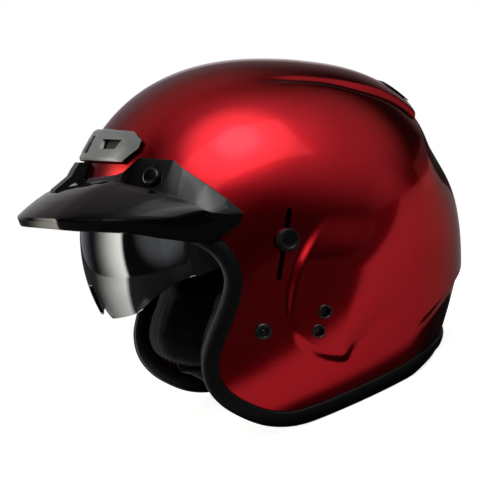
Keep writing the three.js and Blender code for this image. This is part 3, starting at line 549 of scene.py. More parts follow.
def woven(name, colour, pitch):
    """Webbing: crossed bands of threads, with painted shade in the lows between them."""
    look = Look(name, roughness=0.8, Sheen_Weight=0.2, Specular_IOR_Level=0.25)
    bands = [
        look.node(
            "ShaderNodeTexWave", {"wave_type": "BANDS", "bands_direction": axis, "wave_profile": "SIN"},
            Vector=look.place, Scale=pitch, Distortion=0.4,
        ).outputs["Fac"]
        for axis in ("X", "Y", "DIAGONAL")
    ]
    weave_and_shade = look.math("MULTIPLY", look.math("MAXIMUM", bands[0], bands[1]), bands[2])
    # the pattern is the weave's own; its darker lows are painted shade between the threads
    look.set(Base_Color=look.mix(weave_and_shade, grey(colour * 0.5), grey(colour * 2.0)))
    look.bump(weave_and_shade, 0.0004, 0.8)
    return look.material


def beaded_foam():
    look = Look("beaded_foam", roughness=0.9)
    beads = look.cells(420.0)["Distance"]
    look.set(Base_Color=look.mix(beads, (0.03, 0.03, 0.032), (0.012, 0.012, 0.013)))
    look.bump(beads, 0.0006, 0.6)
    return look.material


def smoke_lens():
    """Smoke-tinted lens with a mirror coat that grows stronger toward grazing angles."""
    look = Look("smoke_lens")
    facing = look.node("ShaderNodeLayerWeight", Blend=0.5).outputs["Facing"]
    tint = look.mix(look.math("POWER", facing, 1.3), (0.42, 0.44, 0.47), (0.06, 0.07, 0.09))
    clear = look.node("ShaderNodeBsdfTransparent", Color=tint).outputs[0]
    haze = look.noise(60.0, 3.0)
    mirror = look.node(
        "ShaderNodeBsdfGlossy", Color=(0.86, 0.90, 0.95, 1), Roughness=look.between(0.03, 0.06, haze),
    ).outputs[0]
    edge = look.node("ShaderNodeFresnel", IOR=2.0).outputs[0]
    look.show(look.node("ShaderNodeMixShader", i0=edge, i1=clear, i2=mirror).outputs[0])
    return look.material


def vent_paint():
    look = Look("vent_paint", metallic=0.55, Coat_Weight=0.3, Coat_Roughness=0.2)
    grain = look.node("ShaderNodeSeparateColor", Color=look.cells(3000)["Color"]).outputs[0]
    look.set(Base_Color=look.mix(look.between(0.0, 0.5, grain), (0.20, 0.225, 0.215), (0.33, 0.36, 0.345)))
    look.set(Roughness=look.between(0.34, 0.46, look.noise(200.0, 2.0)))
    look.bump(look.noise(1500.0, 2.0), 0.00003, 0.4)
    return look.material


PAINT = candy_paint()
RUBBER = moulded_black("trim_rubber", 0.5, grain=1400.0, depth=0.00008, colour=0.0020, shine=0.15)
PIPING = moulded_black("piping", 0.45, grain=900.0, depth=0.00004, colour=0.05)
GLOSS_BLACK = moulded_black("gloss_black", 0.07, grain=60.0, depth=0.00001, colour=0.0010, shine=0.46)
SATIN_BLACK = moulded_black("satin_black", 0.38, grain=1600.0, depth=0.00006, colour=0.003)
STEEL = metal("steel", (0.62, 0.63, 0.65), 0.2)
DARK_STEEL = metal("dark_steel", (0.05, 0.05, 0.052), 0.25)
LINER = knit("liner_knit", 0.0026, cell=900.0, depth=0.0004)
MESH_LINING = knit("pad_knit", 0.0024, cell=650.0, depth=0.0006)
WEBBING = woven("webbing", 0.007, pitch=420.0)
THREAD = moulded_black("thread", 0.7, grain=3000.0, depth=0.0001, colour=0.03)
FOAM = beaded_foam()
KNOB_BLACK = moulded_black("knob_black", 0.32, grain=1500.0, depth=0.00005, colour=0.0015, shine=0.3)
SOCKET_STEEL = metal("socket_steel", (0.07, 0.055, 0.055), 0.22)
LENS = smoke_lens()
VENT = vent_paint()


# ---- painted shell --------------------------------------------------------------------------
SLOT = dict(y=-20.4, z=21.8, length=45.5, width=3.4, slant=math.radians(10))
KNOB = dict(y=-19.9, z=24.5, radius=8.0)
SLIDE_REACH = 22                    # the slot's direction is taken this far to each side of it
SNAP = (-34.6, -36.7)
SOCKETS = {"upper": (7, -23.7), "lower": (2.7, -36.8)}
PEAK_BUTTON = (83.5, 65.5)
CUT_REACH = 12                      # how far a cutter reaches to each side of the surface
POLE_RING = 0.012                   # the first ring's share of the way from the pole to the rim


def shell_grid(columns, rows_out, rows_in):
    turn, away = rim_columns(columns)
    out = np.linspace(POLE_RING, 1, rows_out)[:, None]
    back = np.linspace(1, POLE_RING, rows_in)[:, None]
    outer = outer_point(polar(turn, out * away))
    inner = inner_point(polar(turn, back * away))
    return np.vstack([outer, inner])


def closed_bowl(grid):
    """(points, faces) of a grid that starts and ends in a small ring, each closed with a fan."""
    rows, columns = grid.shape[:2]
    hubs = [grid[0].mean(0), grid[-1].mean(0)]
    faces = [list(f) for f in grid_faces(rows, columns)]
    for ring, hub in ((0, rows * columns), ((rows - 1) * columns, rows * columns + 1)):
        faces += [[ring + j, ring + (j + 1) % columns, hub] for j in range(columns)]
    return np.vstack([grid.reshape(-1, 3), hubs]), faces


def slot_cutter():
    half, end = SLOT["length"] / 2, SLOT["width"] / 2
    turn = np.linspace(0, np.pi, 13)
    top = np.stack([np.cos(turn) * end, half + np.sin(turn) * end], -1)
    outline = np.vstack([top, -top])
    c, s = math.cos(-SLOT["slant"]), math.sin(-SLOT["slant"])
    outline = outline @ np.array([[c, s], [-s, c]])
    levels = [np.column_stack([outline, np.full(len(outline), h)]) for h in (-CUT_REACH, CUT_REACH)]
    points, faces = lofted(levels)
    return new_mesh("slot_cutter", seat(points, on_side(SLOT["y"], SLOT["z"])), faces)


def hole_cutter(where, radius):
    profile = [(radius, -CUT_REACH), (radius, CUT_REACH)]
    return new_mesh("hole_cutter", *turned_part(profile, where, 48))


def cut(mesh, cutters):
    """mesh without the cutters' volumes."""
    body = bpy.data.objects.new("cut_body", mesh)
    bpy.context.scene.collection.objects.link(body)
    helpers = [body]
    for cutter in cutters:
        tool = bpy.data.objects.new("cutter", cutter)
        bpy.context.scene.collection.objects.link(tool)
        helpers.append(tool)
        step = body.modifiers.new("cut", "BOOLEAN")
        step.operation, step.solver, step.object = "DIFFERENCE", "EXACT", tool
    bpy.context.view_layer.update()
    result = bpy.data.meshes.new_from_object(body.evaluated_get(bpy.context.evaluated_depsgraph_get()))
    for helper in helpers:
        bpy.data.objects.remove(helper)
    return result


def nearest_way(head):
    """Directions whose painted surface points are the points given."""
    way = unit(head)
    for _ in range(4):
        base = on_superellipsoid(way, SHELL)
        way = unit(head - surface_normal(base, SHELL) * relief(base)[:, None])
    return way


def paint_normals(mesh):
    """Gives the outer faces the surface's own normals, so that holes leave no dents in the gloss."""
    head = carried(vertex_array(mesh), HEAD.inverted())
    d = nearest_way(head)
    a = unit(np.cross(d, (0.0, 0.0, 1.0)) + 1e-9)
    b = np.cross(d, a)
    step = 0.002
    here = outer_point(d)
    normal = np.cross(outer_point(unit(d + a * step)) - here, outer_point(unit(d + b * step)) - here)
    normal = unit(normal) * np.sign((normal * d).sum(-1, keepdims=True))
    on_paint = np.linalg.norm(head - here, axis=1) < 0.4
    normal = carried(normal, TURN)
    mesh.shade_smooth()
    corner = np.empty(len(mesh.loops) * 3)
    mesh.corner_normals.foreach_get("vector", corner)
    corner = corner.reshape(-1, 3)
    for face in mesh.polygons:
        ids = list(face.vertices)
        corners = slice(face.loop_start, face.loop_start + face.loop_total)
        if on_paint[ids].all() and np.dot(normal[ids[0]], face.normal) > 0.7:
            corner[corners] = normal[ids]
        elif on_paint[ids].any():
            corner[corners] = tuple(face.normal)
    mesh.normals_split_custom_set(corner.tolist())


def make_shell():
    mesh = new_mesh("shell_form", *closed_bowl(shell_grid(columns=400, rows_out=190, rows_in=40)))
    holes = [
        hole_cutter(on_side(*SNAP), 3.0), hole_cutter(on_front(*PEAK_BUTTON), 3.0),
        *(hole_cutter(on_side(y, z), 4.0) for y, z in SOCKETS.values()),
    ]
    holes += [mirrored(hole, "hole_cutter") for hole in holes]
    mesh = cut(mesh, [slot_cutter(), *holes])
    fine("outer_shell", mesh, PAINT, slot="candy_paint")
    paint_normals(mesh)


# ---- edge trim ------------------------------------------------------------------------------
# Sections are given as (distance past the shell's edge, height over the paint).
TRIM_OUTSIDE = [
    (-6.5, 0.5), (-6.3, 1.7), (-5.2, 2.4), (-1, 3.0), (2.4, 2.5), (4.7, 0.9), (5.6, -1.8),
    (4.8, -4.6), (2.6, -6.5), (-1, -7.2), (-5.2, -7.0), (-6.4, -6.3), (-6.6, -4.6),
]
TRIM_INSIDE = [(-6.3, -WALL - 0.35), (1.4, -WALL - 0.35), (1.4, 0.35), (-6.2, 0.35)]


def rim_frames(count):
    """Points along the shell's edge with the direction past it and the direction out of it."""
    turn, away = rim_columns(count)
    edge = outer_point(polar(turn, away))
    along = unit(np.roll(edge, -1, 0) - np.roll(edge, 1, 0))
    off = edge - outer_point(polar(turn, 0.95 * away))
    off = unit(off - along * (off * along).sum(-1, keepdims=True))
    normal = unit(np.cross(off, along))
    return edge, off, normal * np.sign((normal * edge).sum(-1, keepdims=True))


def along_rim(section):
    edge, off, normal = rim_frames(360)
    section = np.asarray(section, float)
    return (
        edge[:, None] + section[None, :, :1] * off[:, None] + section[None, :, 1:] * normal[:, None]
    )


def make_trim():
    section = np.vstack([catmull(TRIM_OUTSIDE, 40), TRIM_INSIDE])
    fine("edge_trim", rim_tube(section), RUBBER, slot="trim_rubber", crease=50)


def make_piping():
    """Thin bead along the outer side of the trim."""
    turn = np.linspace(0, 2 * np.pi, 10, endpoint=False)
    bead = np.stack([5.25 + 0.55 * np.cos(turn), -3.9 + 0.55 * np.sin(turn)], -1)
    piece("trim_piping", new_mesh("trim_piping", *rim_tube(bead)), PIPING, slot="trim_rubber")


def rim_tube(section):
    """(points, faces) of a section carried round the rim, with what would sink pressed to the floor."""
    points, faces = lofted(along_rim(section), closed_along=True)
    row = carried(points, HEAD)
    row[:, 2] = np.maximum(row[:, 2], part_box("edge_trim")[0].z)
    return carried(row, HEAD.inverted()), faces


# ---- peak -----------------------------------------------------------------------------------
# Lines from the middle of the peak to its left rear corner: the top edge of the ears, the crease
# where it turns away from the shell as (x, z, lift), the brim, and the foot of the skirt below it.
PEAK_TOP = [
    (0, 63), (30, 64.5), (60, 67), (64.5, 69), (71, 78.5), (88.5, 77), (93.5, 72), (104.5, 61),
    (111, 51.5), (115.2, 42),
]
PEAK_CREASE = [
    (0, 60, 3.4), (30, 61, 3.4), (58, 62.5, 3.4), (65, 61.5, 3.4), (68.5, 60.5, 3.4), (91, 55, 4.6),
    (98, 51.5, 5.6), (105, 47, 7.6), (109.3, 42, 8.6), (115, 40.5, 3.4),
]
PEAK_BRIM = [
    (0, -179.6, 37.5), (30, -175, 38), (52, -165.5, 38), (60, -160, 38), (70, -151.5, 38),
    (88, -132, 38), (96, -120, 38), (107, -99, 38.2), (116.8, -70, 39.8), (118.6, -50, 39.5),
]
PEAK_CROWN = 0.08
PEAK_SKIRT = [6.5, 7, 7.5, 8, 8.5, 9, 9.5, 13, 16, 4]
PEAK_TUCK = [2.5, 2.5, 2.5, 2.5, 2.5, 2.5, 2, 1.2, 0, 0.3]
PEAK_LIFT, PEAK_THICK = 1.2, 2.2
PEAK_SPAN = 14                      # sections between two stations of the lines


def along_stations(line, straight=False):
    """Points of a line for every section, from the right rear corner to the left one."""
    line = np.vstack([line[:0:-1] * np.array((-1, 1, 1)), line])
    t = np.arange((len(line) - 1) * PEAK_SPAN + 1) / PEAK_SPAN
    if straight:
        return np.stack([np.interp(t, np.arange(len(line)), line[:, k]) for k in range(3)], -1)
    i = np.clip(t.astype(int), 0, len(line) - 2)
    f = (t - i)[:, None]
    padded = np.vstack([2 * line[0] - line[1], line, 2 * line[-1] - line[-2]])
    return catmull_span(padded[i], padded[i + 1], padded[i + 2], padded[i + 3], f)


def peak_lines():
    """The closed outline of the peak's section, line by line, with a smooth crown to its top."""
    def shell_line(places, depth=0.0):
        """Points over the plain front of the shell, without its ridges."""
        base = np.array([plain_front(x, z) for x, z, lift in places])
        lift = np.array([[lift - depth] for x, z, lift in places])
        return base + surface_normal(base, SHELL) * lift

    up = np.array((0, 0, 1.0))
    ears = [(x, z, PEAK_LIFT + PEAK_THICK) for x, z in PEAK_TOP]
    brim = np.array(PEAK_BRIM, float)
    crease = shell_line(PEAK_CREASE)
    inward = unit(np.array((0, -40, 0)) - brim * np.array((1, 1, 0)))
    skirt = brim + inward * np.array(PEAK_TUCK)[:, None] - up * np.array(PEAK_SKIRT)[:, None]
    crown = PEAK_CROWN * np.linalg.norm(brim - crease, axis=1, keepdims=True)
    top = along_stations(shell_line(ears), straight=True)
    crease, brim, skirt, inward, crown = map(along_stations, (crease, brim, skirt, inward, crown * up))

    def crowned(start, end):
        """Lines between two lines, raised by the crown."""
        return [start * (1 - t) + end * t + crown * 4 * t * (1 - t) for t in np.arange(1, 6) / 6]

    under = along_stations(shell_line(PEAK_CREASE, PEAK_THICK))
    inner_brim = brim + inward * PEAK_THICK - up * 1.6
    back = along_stations(shell_line(ears, PEAK_THICK), straight=True)
    inside = [line - up * 0.8 for line in crowned(under, inner_brim)][::-1]
    return [
        top, crease, *crowned(crease, brim), brim, skirt, skirt + inward * PEAK_THICK,
        inner_brim, *inside, under, back,
    ]


def make_peak():
    """The peak, with every edge of its section softly rounded."""
    sections = [rounded(corners, 1.1) for corners in np.stack(peak_lines(), 1)]
    mesh = new_mesh("peak_form", *lofted(sections))
    hole = hole_cutter(on_front(*PEAK_BUTTON), 3.0)
    mesh = cut(mesh, [hole, mirrored(hole, "peak_hole")])
    fine("peak", mesh, GLOSS_BLACK, slot="peak_plastic", crease=24)


def make_peak_buttons():
    lift = PEAK_LIFT + PEAK_THICK
    profile = [
        (2.4, -5.5), (2.4, lift + 0.5), (5.9, lift + 0.5), (6.2, lift + 0.8), (6.2, lift + 1.9),
        (6.0, lift + 2.3), (5.6, lift + 2.7), (5.0, lift + 2.95), (3.6, lift + 3.05), (0.8, lift + 3.1),
    ]
    button = turned_part(profile, on_front(*PEAK_BUTTON))
    pair("peak_button", button, GLOSS_BLACK, slot="black_plastic", crease=35)


def round_edges(obj, width, crease):
    step = obj.modifiers.new("round_edges", "BEVEL")
    step.width, step.segments, step.limit_method = width * MM, 2, "ANGLE"
    step.angle_limit = math.radians(crease)


def dress(node, material, crease):
    """Gives a carried-over CAD node its material, and shades it smooth but for its creases."""
    obj = frame["nodes"][node]
    obj.data.materials.clear()
    obj.data.materials.append(material)
    obj.data.shade_smooth()
    obj.data.set_sharp_from_angle(angle=math.radians(crease))
    return obj


def soften(node, width, material):
    """Dresses a carried-over CAD node and rounds its edges."""
    round_edges(dress(node, material, 30), width, 30)


def make_hardware():
    """Small parts that keep the shape of their CAD nodes."""
    for side in ("left", "right"):
        soften("lens_arm_" + side, 0.4, SATIN_BLACK)
        soften("lens_bracket_" + side, 0.5, SATIN_BLACK)
        soften("strap_hanger_" + side, 0.25, STEEL)
    for node in ("slider_carriage", "peak_centre_clip", "vent_slider"):
        soften(node, 0.5, SATIN_BLACK)


# ---- forehead vent --------------------------------------------------------------------------
VENT_Z = 87
VENT_LEFT = [(0, 98), (15, 98.3), (54, 96), (64.5, 90), (66, 84.5), (59, 75.5), (16, 76.5), (0, 76.5)]
VENT_WINDOW = [(26, 92.5), (52, 91.8), (50, 85.5), (30, 85.5)]
VENT_SLOT = (9, 14)


def both_sides(left):
    return left + [(-x, z) for x, z in reversed(left) if x > 0]


def dense(outline, step):
    """Splits each side of an outline so that it can follow a curved surface."""
    out = []
    for (x0, z0), (x1, z1) in zip(outline, outline[1:] + outline[:1]):
        parts = max(1, round(math.hypot(x1 - x0, z1 - z0) / step))
        out += [(x0 + (x1 - x0) * k / parts, z0 + (z1 - z0) * k / parts) for k in range(parts)]
    return out


def shell_plate(outline, centre, where, levels):
    """(points, faces) of a plate over the shell. levels are (share of the outline, lift) pairs."""
    rings = []
    for share, lift in levels:
        ring = [
            where(centre[0] + (a - centre[0]) * share, centre[1] + (b - centre[1]) * share, lift)[0]
            for a, b in outline
        ]
        rings.append(ring)
    return closed_bowl(np.array(rings))


def front_block(outline, near, far):
    """A block that goes straight back from the front under an outline of (x, z)."""
    levels = [[(x, y, z) for x, z in outline] for y in (near, far)]
    return new_mesh("front_block", *lofted(levels))


def make_vent_cover():
    levels = [(0.14, 4.5), (0.45, 4.5), (0.75, 4.4), (0.84, 4.3), (0.88, 4.05), (0.985, 3.1), (1, 2.8)]
    levels += [(0.995, 2.3), (0.78, 2.3), (0.45, 2.3), (0.14, 2.3)]
    outline = dense(both_sides(VENT_LEFT), 2.5)
    mesh = new_mesh("vent_form", *shell_plate(outline, (0, VENT_Z), on_front, levels))
    window = front_block(VENT_WINDOW, -80, -150)
    wide, tall = (side / 2 for side in VENT_SLOT)
    corners = ((wide, tall), (wide, -tall), (-wide, -tall), (-wide, tall))
    points, faces = lofted([[(x, z, lift) for x, z in corners] for lift in (-10, 12)])
    slot = new_mesh("vent_slot", seat(points, on_front(0, VENT_Z)), faces)
    mesh = cut(mesh, [window, mirrored(window, "vent_window"), slot])
    obj = fine("vent_cover", mesh, VENT, slot="vent_silver", crease=14)
    round_edges(obj, 0.35, 25)


def make_vent_base():
    """Thin black base under the cover, with the same outline but a little smaller."""
    levels = [(share, 1.4) for share in (0.14, 0.45, 0.8, 0.985)]
    levels += [(1, 1.2)] + [(share, 0.6) for share in (1, 0.8, 0.45, 0.14)]
    outline = [(x * 0.93, VENT_Z + (z - VENT_Z) * 0.86) for x, z in VENT_LEFT]
    plate = shell_plate(dense(both_sides(outline), 3), (0, VENT_Z), on_front, levels)
    fine("vent_base", plate, SATIN_BLACK, slot="black_plastic", crease=30)


EXHAUST_LEFT = [(0, 80), (36, 80), (40, 93), (0, 93)]
EXHAUST_Y = 87
GROOVE_PITCH, GROOVE_HALF, GROOVE_ENDS = 18, 6, (84, 89)


def make_exhaust():
    """Black insert in the rear panel, with a row of shallow grooves."""
    levels = [(0.15, 1.3), (0.5, 1.3), (0.93, 1.3), (0.985, 1.2), (1, 1.0)]
    levels += [(1, 0.5), (0.5, 0.5), (0.15, 0.5)]
    outline = dense(both_sides(EXHAUST_LEFT), 2.5)
    mesh = new_mesh("exhaust_form", *shell_plate(outline, (0, EXHAUST_Y), on_top, levels))
    grooves = []
    for number in range(4):
        middle = (number - 1.5) * GROOVE_PITCH
        left, right = middle - GROOVE_HALF, middle + GROOVE_HALF
        near, far = GROOVE_ENDS
        corners = [(left, near), (right, near), (right, far), (left, far)]
        ends = [[on_top(x, y, lift)[0] for x, y in corners] for lift in (0.9, 6)]
        grooves.append(new_mesh("groove", *lofted(ends)))
    fine("exhaust_vent", cut(mesh, grooves), SATIN_BLACK, slot="black_plastic", crease=30)


# ---- sun lens -------------------------------------------------------------------------------
LENS_RADIUS, LENS_REACH, LENS_THICK, LENS_SIDE = 115, 111.3, 2.2, 94
LENS_TOP = 11                       # angle of its upper edge about the pivot
SCREW_X = 105.3


def lens_radius(x):
    """Distance of the outer face from the pivot's axis: the lens bulges like an ellipsoid."""
    return LENS_RADIUS * math.sqrt(1 - (x / LENS_REACH) ** 2)


def lens_low(x):
    """Angle of the lower edge about the pivot: a nose notch, then two low corners."""
    away = abs(x)
    return -31 + 13 * (1 - ease(5, 20, away)) + 8 * ease(48, LENS_SIDE, away)


def about_pivot(x, radius, angle):
    """Points at angles about the lens's axis, 0 straight ahead and positive upward."""
    angle = np.radians(angle)
    return np.stack([
        x + 0 * angle,
        LENS_PIVOT.y - radius * np.cos(angle),
        LENS_PIVOT.z + radius * np.sin(angle),
    ], -1)


def make_lens():
    """Curved sheet with edges that come to a blunt ridge halfway through its thickness."""
    ridge = 0.3                     # degrees that the ridge stands past the faces
    sections = []
    for x in np.linspace(-LENS_SIDE, LENS_SIDE, 121):
        low, radius = lens_low(x), lens_radius(x)
        angles = np.linspace(low + ridge, LENS_TOP - ridge, 25)
        front = about_pivot(x, radius, angles)
        back = about_pivot(x, radius - LENS_THICK, angles[::-1])
        top, foot = (about_pivot(x, radius - LENS_THICK / 2, np.array([end])) for end in (LENS_TOP, low))
        sections.append(np.vstack([front, top, back, foot]))
    fine("sun_lens", lofted(sections), LENS, body="lens", slot="smoke_lens", crease=45)


def make_pivot_screws():
    profile = [
        (1.5, -2.0), (1.5, 2.8), (5.8, 2.8), (6.0, 3.0), (6.0, 3.3), (5.6, 3.8), (4.6, 4.2),
        (3.0, 4.45), (2.9, 3.5), (1.0, 3.4),
    ]
    points, faces = lathe(profile, 48)
    points = points[:, [2, 1, 0]] + np.array((SCREW_X, LENS_PIVOT.y, LENS_PIVOT.z))
    pair("pivot_screw", (points, faces), STEEL, slot="steel", crease=35)


# ---- lens slider knob -----------------------------------------------------------------------
def slide_frame():
    """Axes of the sliding parts (back, up along the slot, out) and their origin."""
    s, c = math.sin(SLOT["slant"]), math.cos(SLOT["slant"])
    top = on_side(SLOT["y"] + SLIDE_REACH * s, SLOT["z"] + SLIDE_REACH * c)[0]
    foot = on_side(SLOT["y"] - SLIDE_REACH * s, SLOT["z"] - SLIDE_REACH * c)[0]
    up = unit(top - foot)
    back = unit(np.cross(up, ACROSS))
    return back, up, np.cross(back, up), on_side(KNOB["y"], KNOB["z"])[0]


def make_knob():
    r = KNOB["radius"]
    profile = [
        (1.4, -8.6), (1.4, 1.8), (r - 0.7, 1.8), (r - 0.1, 2.2), (r, 2.8), (r, 7.0), (r - 0.15, 7.8),
        (r - 0.6, 8.5), (r - 1.2, 8.85), (r - 1.8, 8.9), (r - 2.2, 8.7), (r - 2.6, 8.45),
        (r - 4.5, 8.2), (0.6, 8.1),
    ]
    points, faces = lathe(profile, 96)
    back, up, out, origin = slide_frame()
    points = points[:, :1] * back + points[:, 1:2] * up + points[:, 2:] * out + origin
    knob = (points, faces)
    fine("slider_knob", knob, KNOB_BLACK, body="lens_slider", slot="knob_plastic", crease=50)


# ---- snaps, sockets and rings ---------------------------------------------------------------
def make_snaps():
    profile = [
        (2.5, -7.5), (2.5, 0.4), (5.6, 0.4), (5.85, 0.6), (5.85, 1.3), (5.5, 1.9), (4.9, 2.4),
        (4.3, 2.55), (3.7, 2.4), (3.3, 2.0), (3.2, 1.3), (1.9, 1.3), (1.7, 1.5), (1.4, 1.95),
        (1.0, 2.1), (0.4, 2.15),
    ]
    snap = turned_part(profile, on_side(*SNAP))
    pair("strap_snap", snap, DARK_STEEL, slot="dark_steel", crease=45)


def make_sockets():
    profile = [
        (3.7, -4.2), (3.7, 0.3), (4.75, 0.35), (4.95, 0.55), (4.85, 0.9), (4.5, 1.15), (4.1, 1.2),
        (3.7, 1.05), (3.4, 0.7), (3.2, -0.4), (3.1, -3.6), (0.4, -3.6),
    ]
    for name, (y, z) in SOCKETS.items():
        socket = turned_part(profile, on_side(y, z))
        pair("side_socket_" + name, socket, SOCKET_STEEL, slot="dark_steel", crease=45)


BUCKLE = np.array((4.0, -16.0, -87.0))
RING_OFFSET = np.array((9.0, 0, 0))
RING_DEEP, RING_HALF, WIRE_RADIUS = 15, 17, 1.4


def make_rings():
    """Two D-shaped rings of round wire that share the loop of the left strap."""
    turn = np.linspace(np.pi / 2, 1.5 * np.pi, 9)
    bow = np.stack([-5 + RING_DEEP * np.cos(turn), RING_HALF * np.sin(turn), 0 * turn], -1)
    bar = np.array([(0, y, 0) for y in (-16, -8, 0, 8, 16)], float)
    line = catmull(np.vstack([bow, bar]), 120, closed=True)
    along = unit(np.roll(line, -1, 0) - np.roll(line, 1, 0))
    flat = np.array((0, 0, 1.0))
    side = np.cross(along, flat)
    a = np.linspace(0, 2 * np.pi, 16, endpoint=False)[None, :, None]
    wire = line[:, None] + WIRE_RADIUS * (np.cos(a) * side[:, None] + np.sin(a) * flat)
    for name, level in (("d_ring_upper", 1.9), ("d_ring_lower", -1.9)):
        middle = BUCKLE + RING_OFFSET + flat * level
        fine(name, lofted(wire + middle, closed_along=True), STEEL, slot="steel")


# ---- chin straps ----------------------------------------------------------------------------
STRAP_WIDTH, STRAP_THICK = 24, 1.8
LEFT_ROUTE = [
    (109.4, -33, -47), (107.4, -31, -62), (103.6, -29, -77), (96, -27, -84), (78, -24, -84.2),
    (52, -20, -86), (28, -17, -87.4), (16, -16, -87),
]
RIGHT_ROUTE = [
    (-109.4, -33, -47), (-107.4, -31, -62), (-103.6, -29, -77), (-96, -27, -84), (-78, -24, -84.6),
    (-52, -20, -87.5), (-26, -17, -91), (-9, -16, -93), (1, -16, -91.6), (5, -16, -87),
    (1, -16, -82.4), (-9, -16, -80.9), (-40, -17, -81.6),
]


def webbing(route, count):
    """Woven strap along a route: a slightly ribbed band with bound edges."""
    line = catmull(route, count)
    along = unit(np.gradient(line, axis=0))
    wide = unit(np.array((0, 1.0, 0)) - along * along[:, 1:2])
    face = np.cross(along, wide)
    w = np.linspace(-1, 1, 17)
    ribs = 0.10 * np.cos(w * np.pi * 5) * (np.abs(w) < 0.95)
    half = STRAP_THICK / 2 * np.sqrt(np.clip(1 - (0.98 * np.abs(w)) ** 14, 0.05, 1)) - 0.1
    across = np.concatenate([w, w[::-1]]) * STRAP_WIDTH / 2
    up = np.concatenate([half + ribs, -(half + ribs)[::-1]])
    return line[:, None] + across[None, :, None] * wide[:, None] + up[None, :, None] * face[:, None]


def make_straps():
    for side, route, count in (("left", LEFT_ROUTE, 140), ("right", RIGHT_ROUTE, 240)):
        strap = lofted(webbing(route, count))
        fine("chin_strap_" + side, strap, WEBBING, slot="webbing", crease=60)


def make_strap_loop():
    """Short sleeve of webbing that holds the two rings at the end of the left strap."""
    turn = np.linspace(0, 2 * np.pi, 40, endpoint=False)
    rise = (3.5 + 2.2 * np.abs(np.sin(turn))) * np.sin(turn)
    hoop = np.stack([3.5 * np.cos(turn), 0 * turn, rise], -1) + BUCKLE + RING_OFFSET
    along = unit(np.roll(hoop, -1, 0) - np.roll(hoop, 1, 0))
    wide = np.array((0, 1.0, 0))
    face = np.cross(along, wide)
    corners = np.array([(-12, -0.9), (12, -0.9), (12, 0.9), (-12, 0.9)])
    sections = hoop[:, None] + corners[None, :, :1] * wide + corners[None, :, 1:] * face[:, None]
    mesh = new_mesh("strap_loop", *lofted(sections, closed_along=True))
    piece("strap_loop", mesh, WEBBING, slot="webbing", crease=60)


# ---- padding --------------------------------------------------------------------------------
PAD_OUTLINE = [
    (-52, -13), (-57, -26), (-63, -44), (-65, -58), (-60, -70), (-46, -76), (-20, -78),
    (8, -75), (25, -62), (31, -40), (23, -20), (0, -11), (-28, -10),
]
PAD_CENTRE = np.array((-20.0, -45.0))
PAD_INNER_X = 57


def pad_rings(levels, count=96):
    """Rings round the pad's outline. levels are (depth from the inner face, share, grow) triples."""
    outline = catmull(PAD_OUTLINE, count, closed=True) - PAD_CENTRE
    away = np.linalg.norm(outline, axis=1, keepdims=True)
    rings = []
    for deep, share, grow in levels:
        yz = outline / away * (away * share + grow) + PAD_CENTRE
        rings.append(np.column_stack([np.full(count, PAD_INNER_X + deep), yz]))
    return np.array(rings)


PUFF_FRAMES = 16


def puffed(obj, voxel, pressure, cap):
    """Inflates a closed soft piece with a short cloth simulation, no further than cap."""
    remesh = obj.modifiers.new("remesh", "REMESH")
    remesh.mode, remesh.voxel_size = "VOXEL", voxel
    bake(obj)
    before = vertex_array(obj.data)
    cloth = obj.modifiers.new("cloth", "CLOTH")
    cloth.settings.use_pressure = True
    cloth.settings.uniform_pressure_force = pressure
    cloth.settings.effector_weights.gravity = 0
    cloth.settings.quality = 4
    cloth.settings.tension_stiffness = cloth.settings.compression_stiffness = 12
    cloth.collision_settings.use_collision = False
    cloth.point_cache.frame_start, cloth.point_cache.frame_end = 1, PUFF_FRAMES
    scene = bpy.context.scene
    for number in range(1, PUFF_FRAMES + 1):
        scene.frame_set(number)
    bake(obj)
    scene.frame_set(1)
    moved = vertex_array(obj.data) - before
    length = np.linalg.norm(moved, axis=1, keepdims=True)
    moved *= np.minimum(1, cap / np.maximum(length, 1e-9))
    obj.data.vertices.foreach_set("co", (before + moved).ravel())
    obj.data.update()


def vertex_array(mesh):
    co = np.empty(len(mesh.vertices) * 3)
    mesh.vertices.foreach_get("co", co)
    return co.reshape(-1, 3)


def bake(obj):
    """Applies all of an object's modifiers."""
    graph = bpy.context.evaluated_depsgraph_get()
    mesh = bpy.data.meshes.new_from_object(obj.evaluated_get(graph))
    obj.modifiers.clear()
    obj.data = mesh


PAD_SEAM = 15.0                     # depth of the seam from the inner face


def cheek_pad_form():
    """Mesh of the left pad, puffed up and drawn in along its seam."""
    levels = [
        (0.8, 0.30, 0), (1.0, 0.60, 0), (1.6, 0.80, 0), (3.2, 0.90, 0), (6, 0.965, 0), (11, 0.99, 0),
        (20, 0.995, 0), (34, 0.99, 0), (41, 0.985, 0), (42, 0.96, 0), (42, 0.6, 0), (42, 0.3, 0),
    ]
    obj = bpy.data.objects.new("pad_form", new_mesh("pad_form", *closed_bowl(pad_rings(levels))))
    bpy.context.scene.collection.objects.link(obj)
    puffed(obj, voxel=0.0028, pressure=4.0, cap=0.0022)
    pinch_seam(obj.data, 1.5)
    soft = obj.modifiers.new("smooth_surface", "SUBSURF")
    soft.levels = soft.render_levels = 1
    bake(obj)
    mesh = obj.data
    bpy.data.objects.remove(obj)
    return mesh


def pinch_seam(mesh, amount):
    """Draws the side of the pad in along the seam, and quilts its inner face."""
    head = carried(vertex_array(mesh), HEAD.inverted())
    from_centre = head[:, 1:] - PAD_CENTRE
    reach = np.linalg.norm(from_centre, axis=1)
    near = np.exp(-(((head[:, 0] - PAD_INNER_X - PAD_SEAM) / 1.6) ** 2)) * ease(18, 26, reach)
    head[:, 1:] -= from_centre / np.maximum(reach, 1)[:, None] * (near * amount)[:, None]
    quilt = np.sin(head[:, 1] * 0.33 + head[:, 2] * 0.21) * np.sin(head[:, 2] * 0.29 - head[:, 1] * 0.17)
    head[:, 0] += 0.5 * quilt * (1 - ease(PAD_INNER_X + 8, PAD_INNER_X + 16, head[:, 0]))
    mesh.vertices.foreach_set("co", carried(head, HEAD).ravel())
    mesh.update()


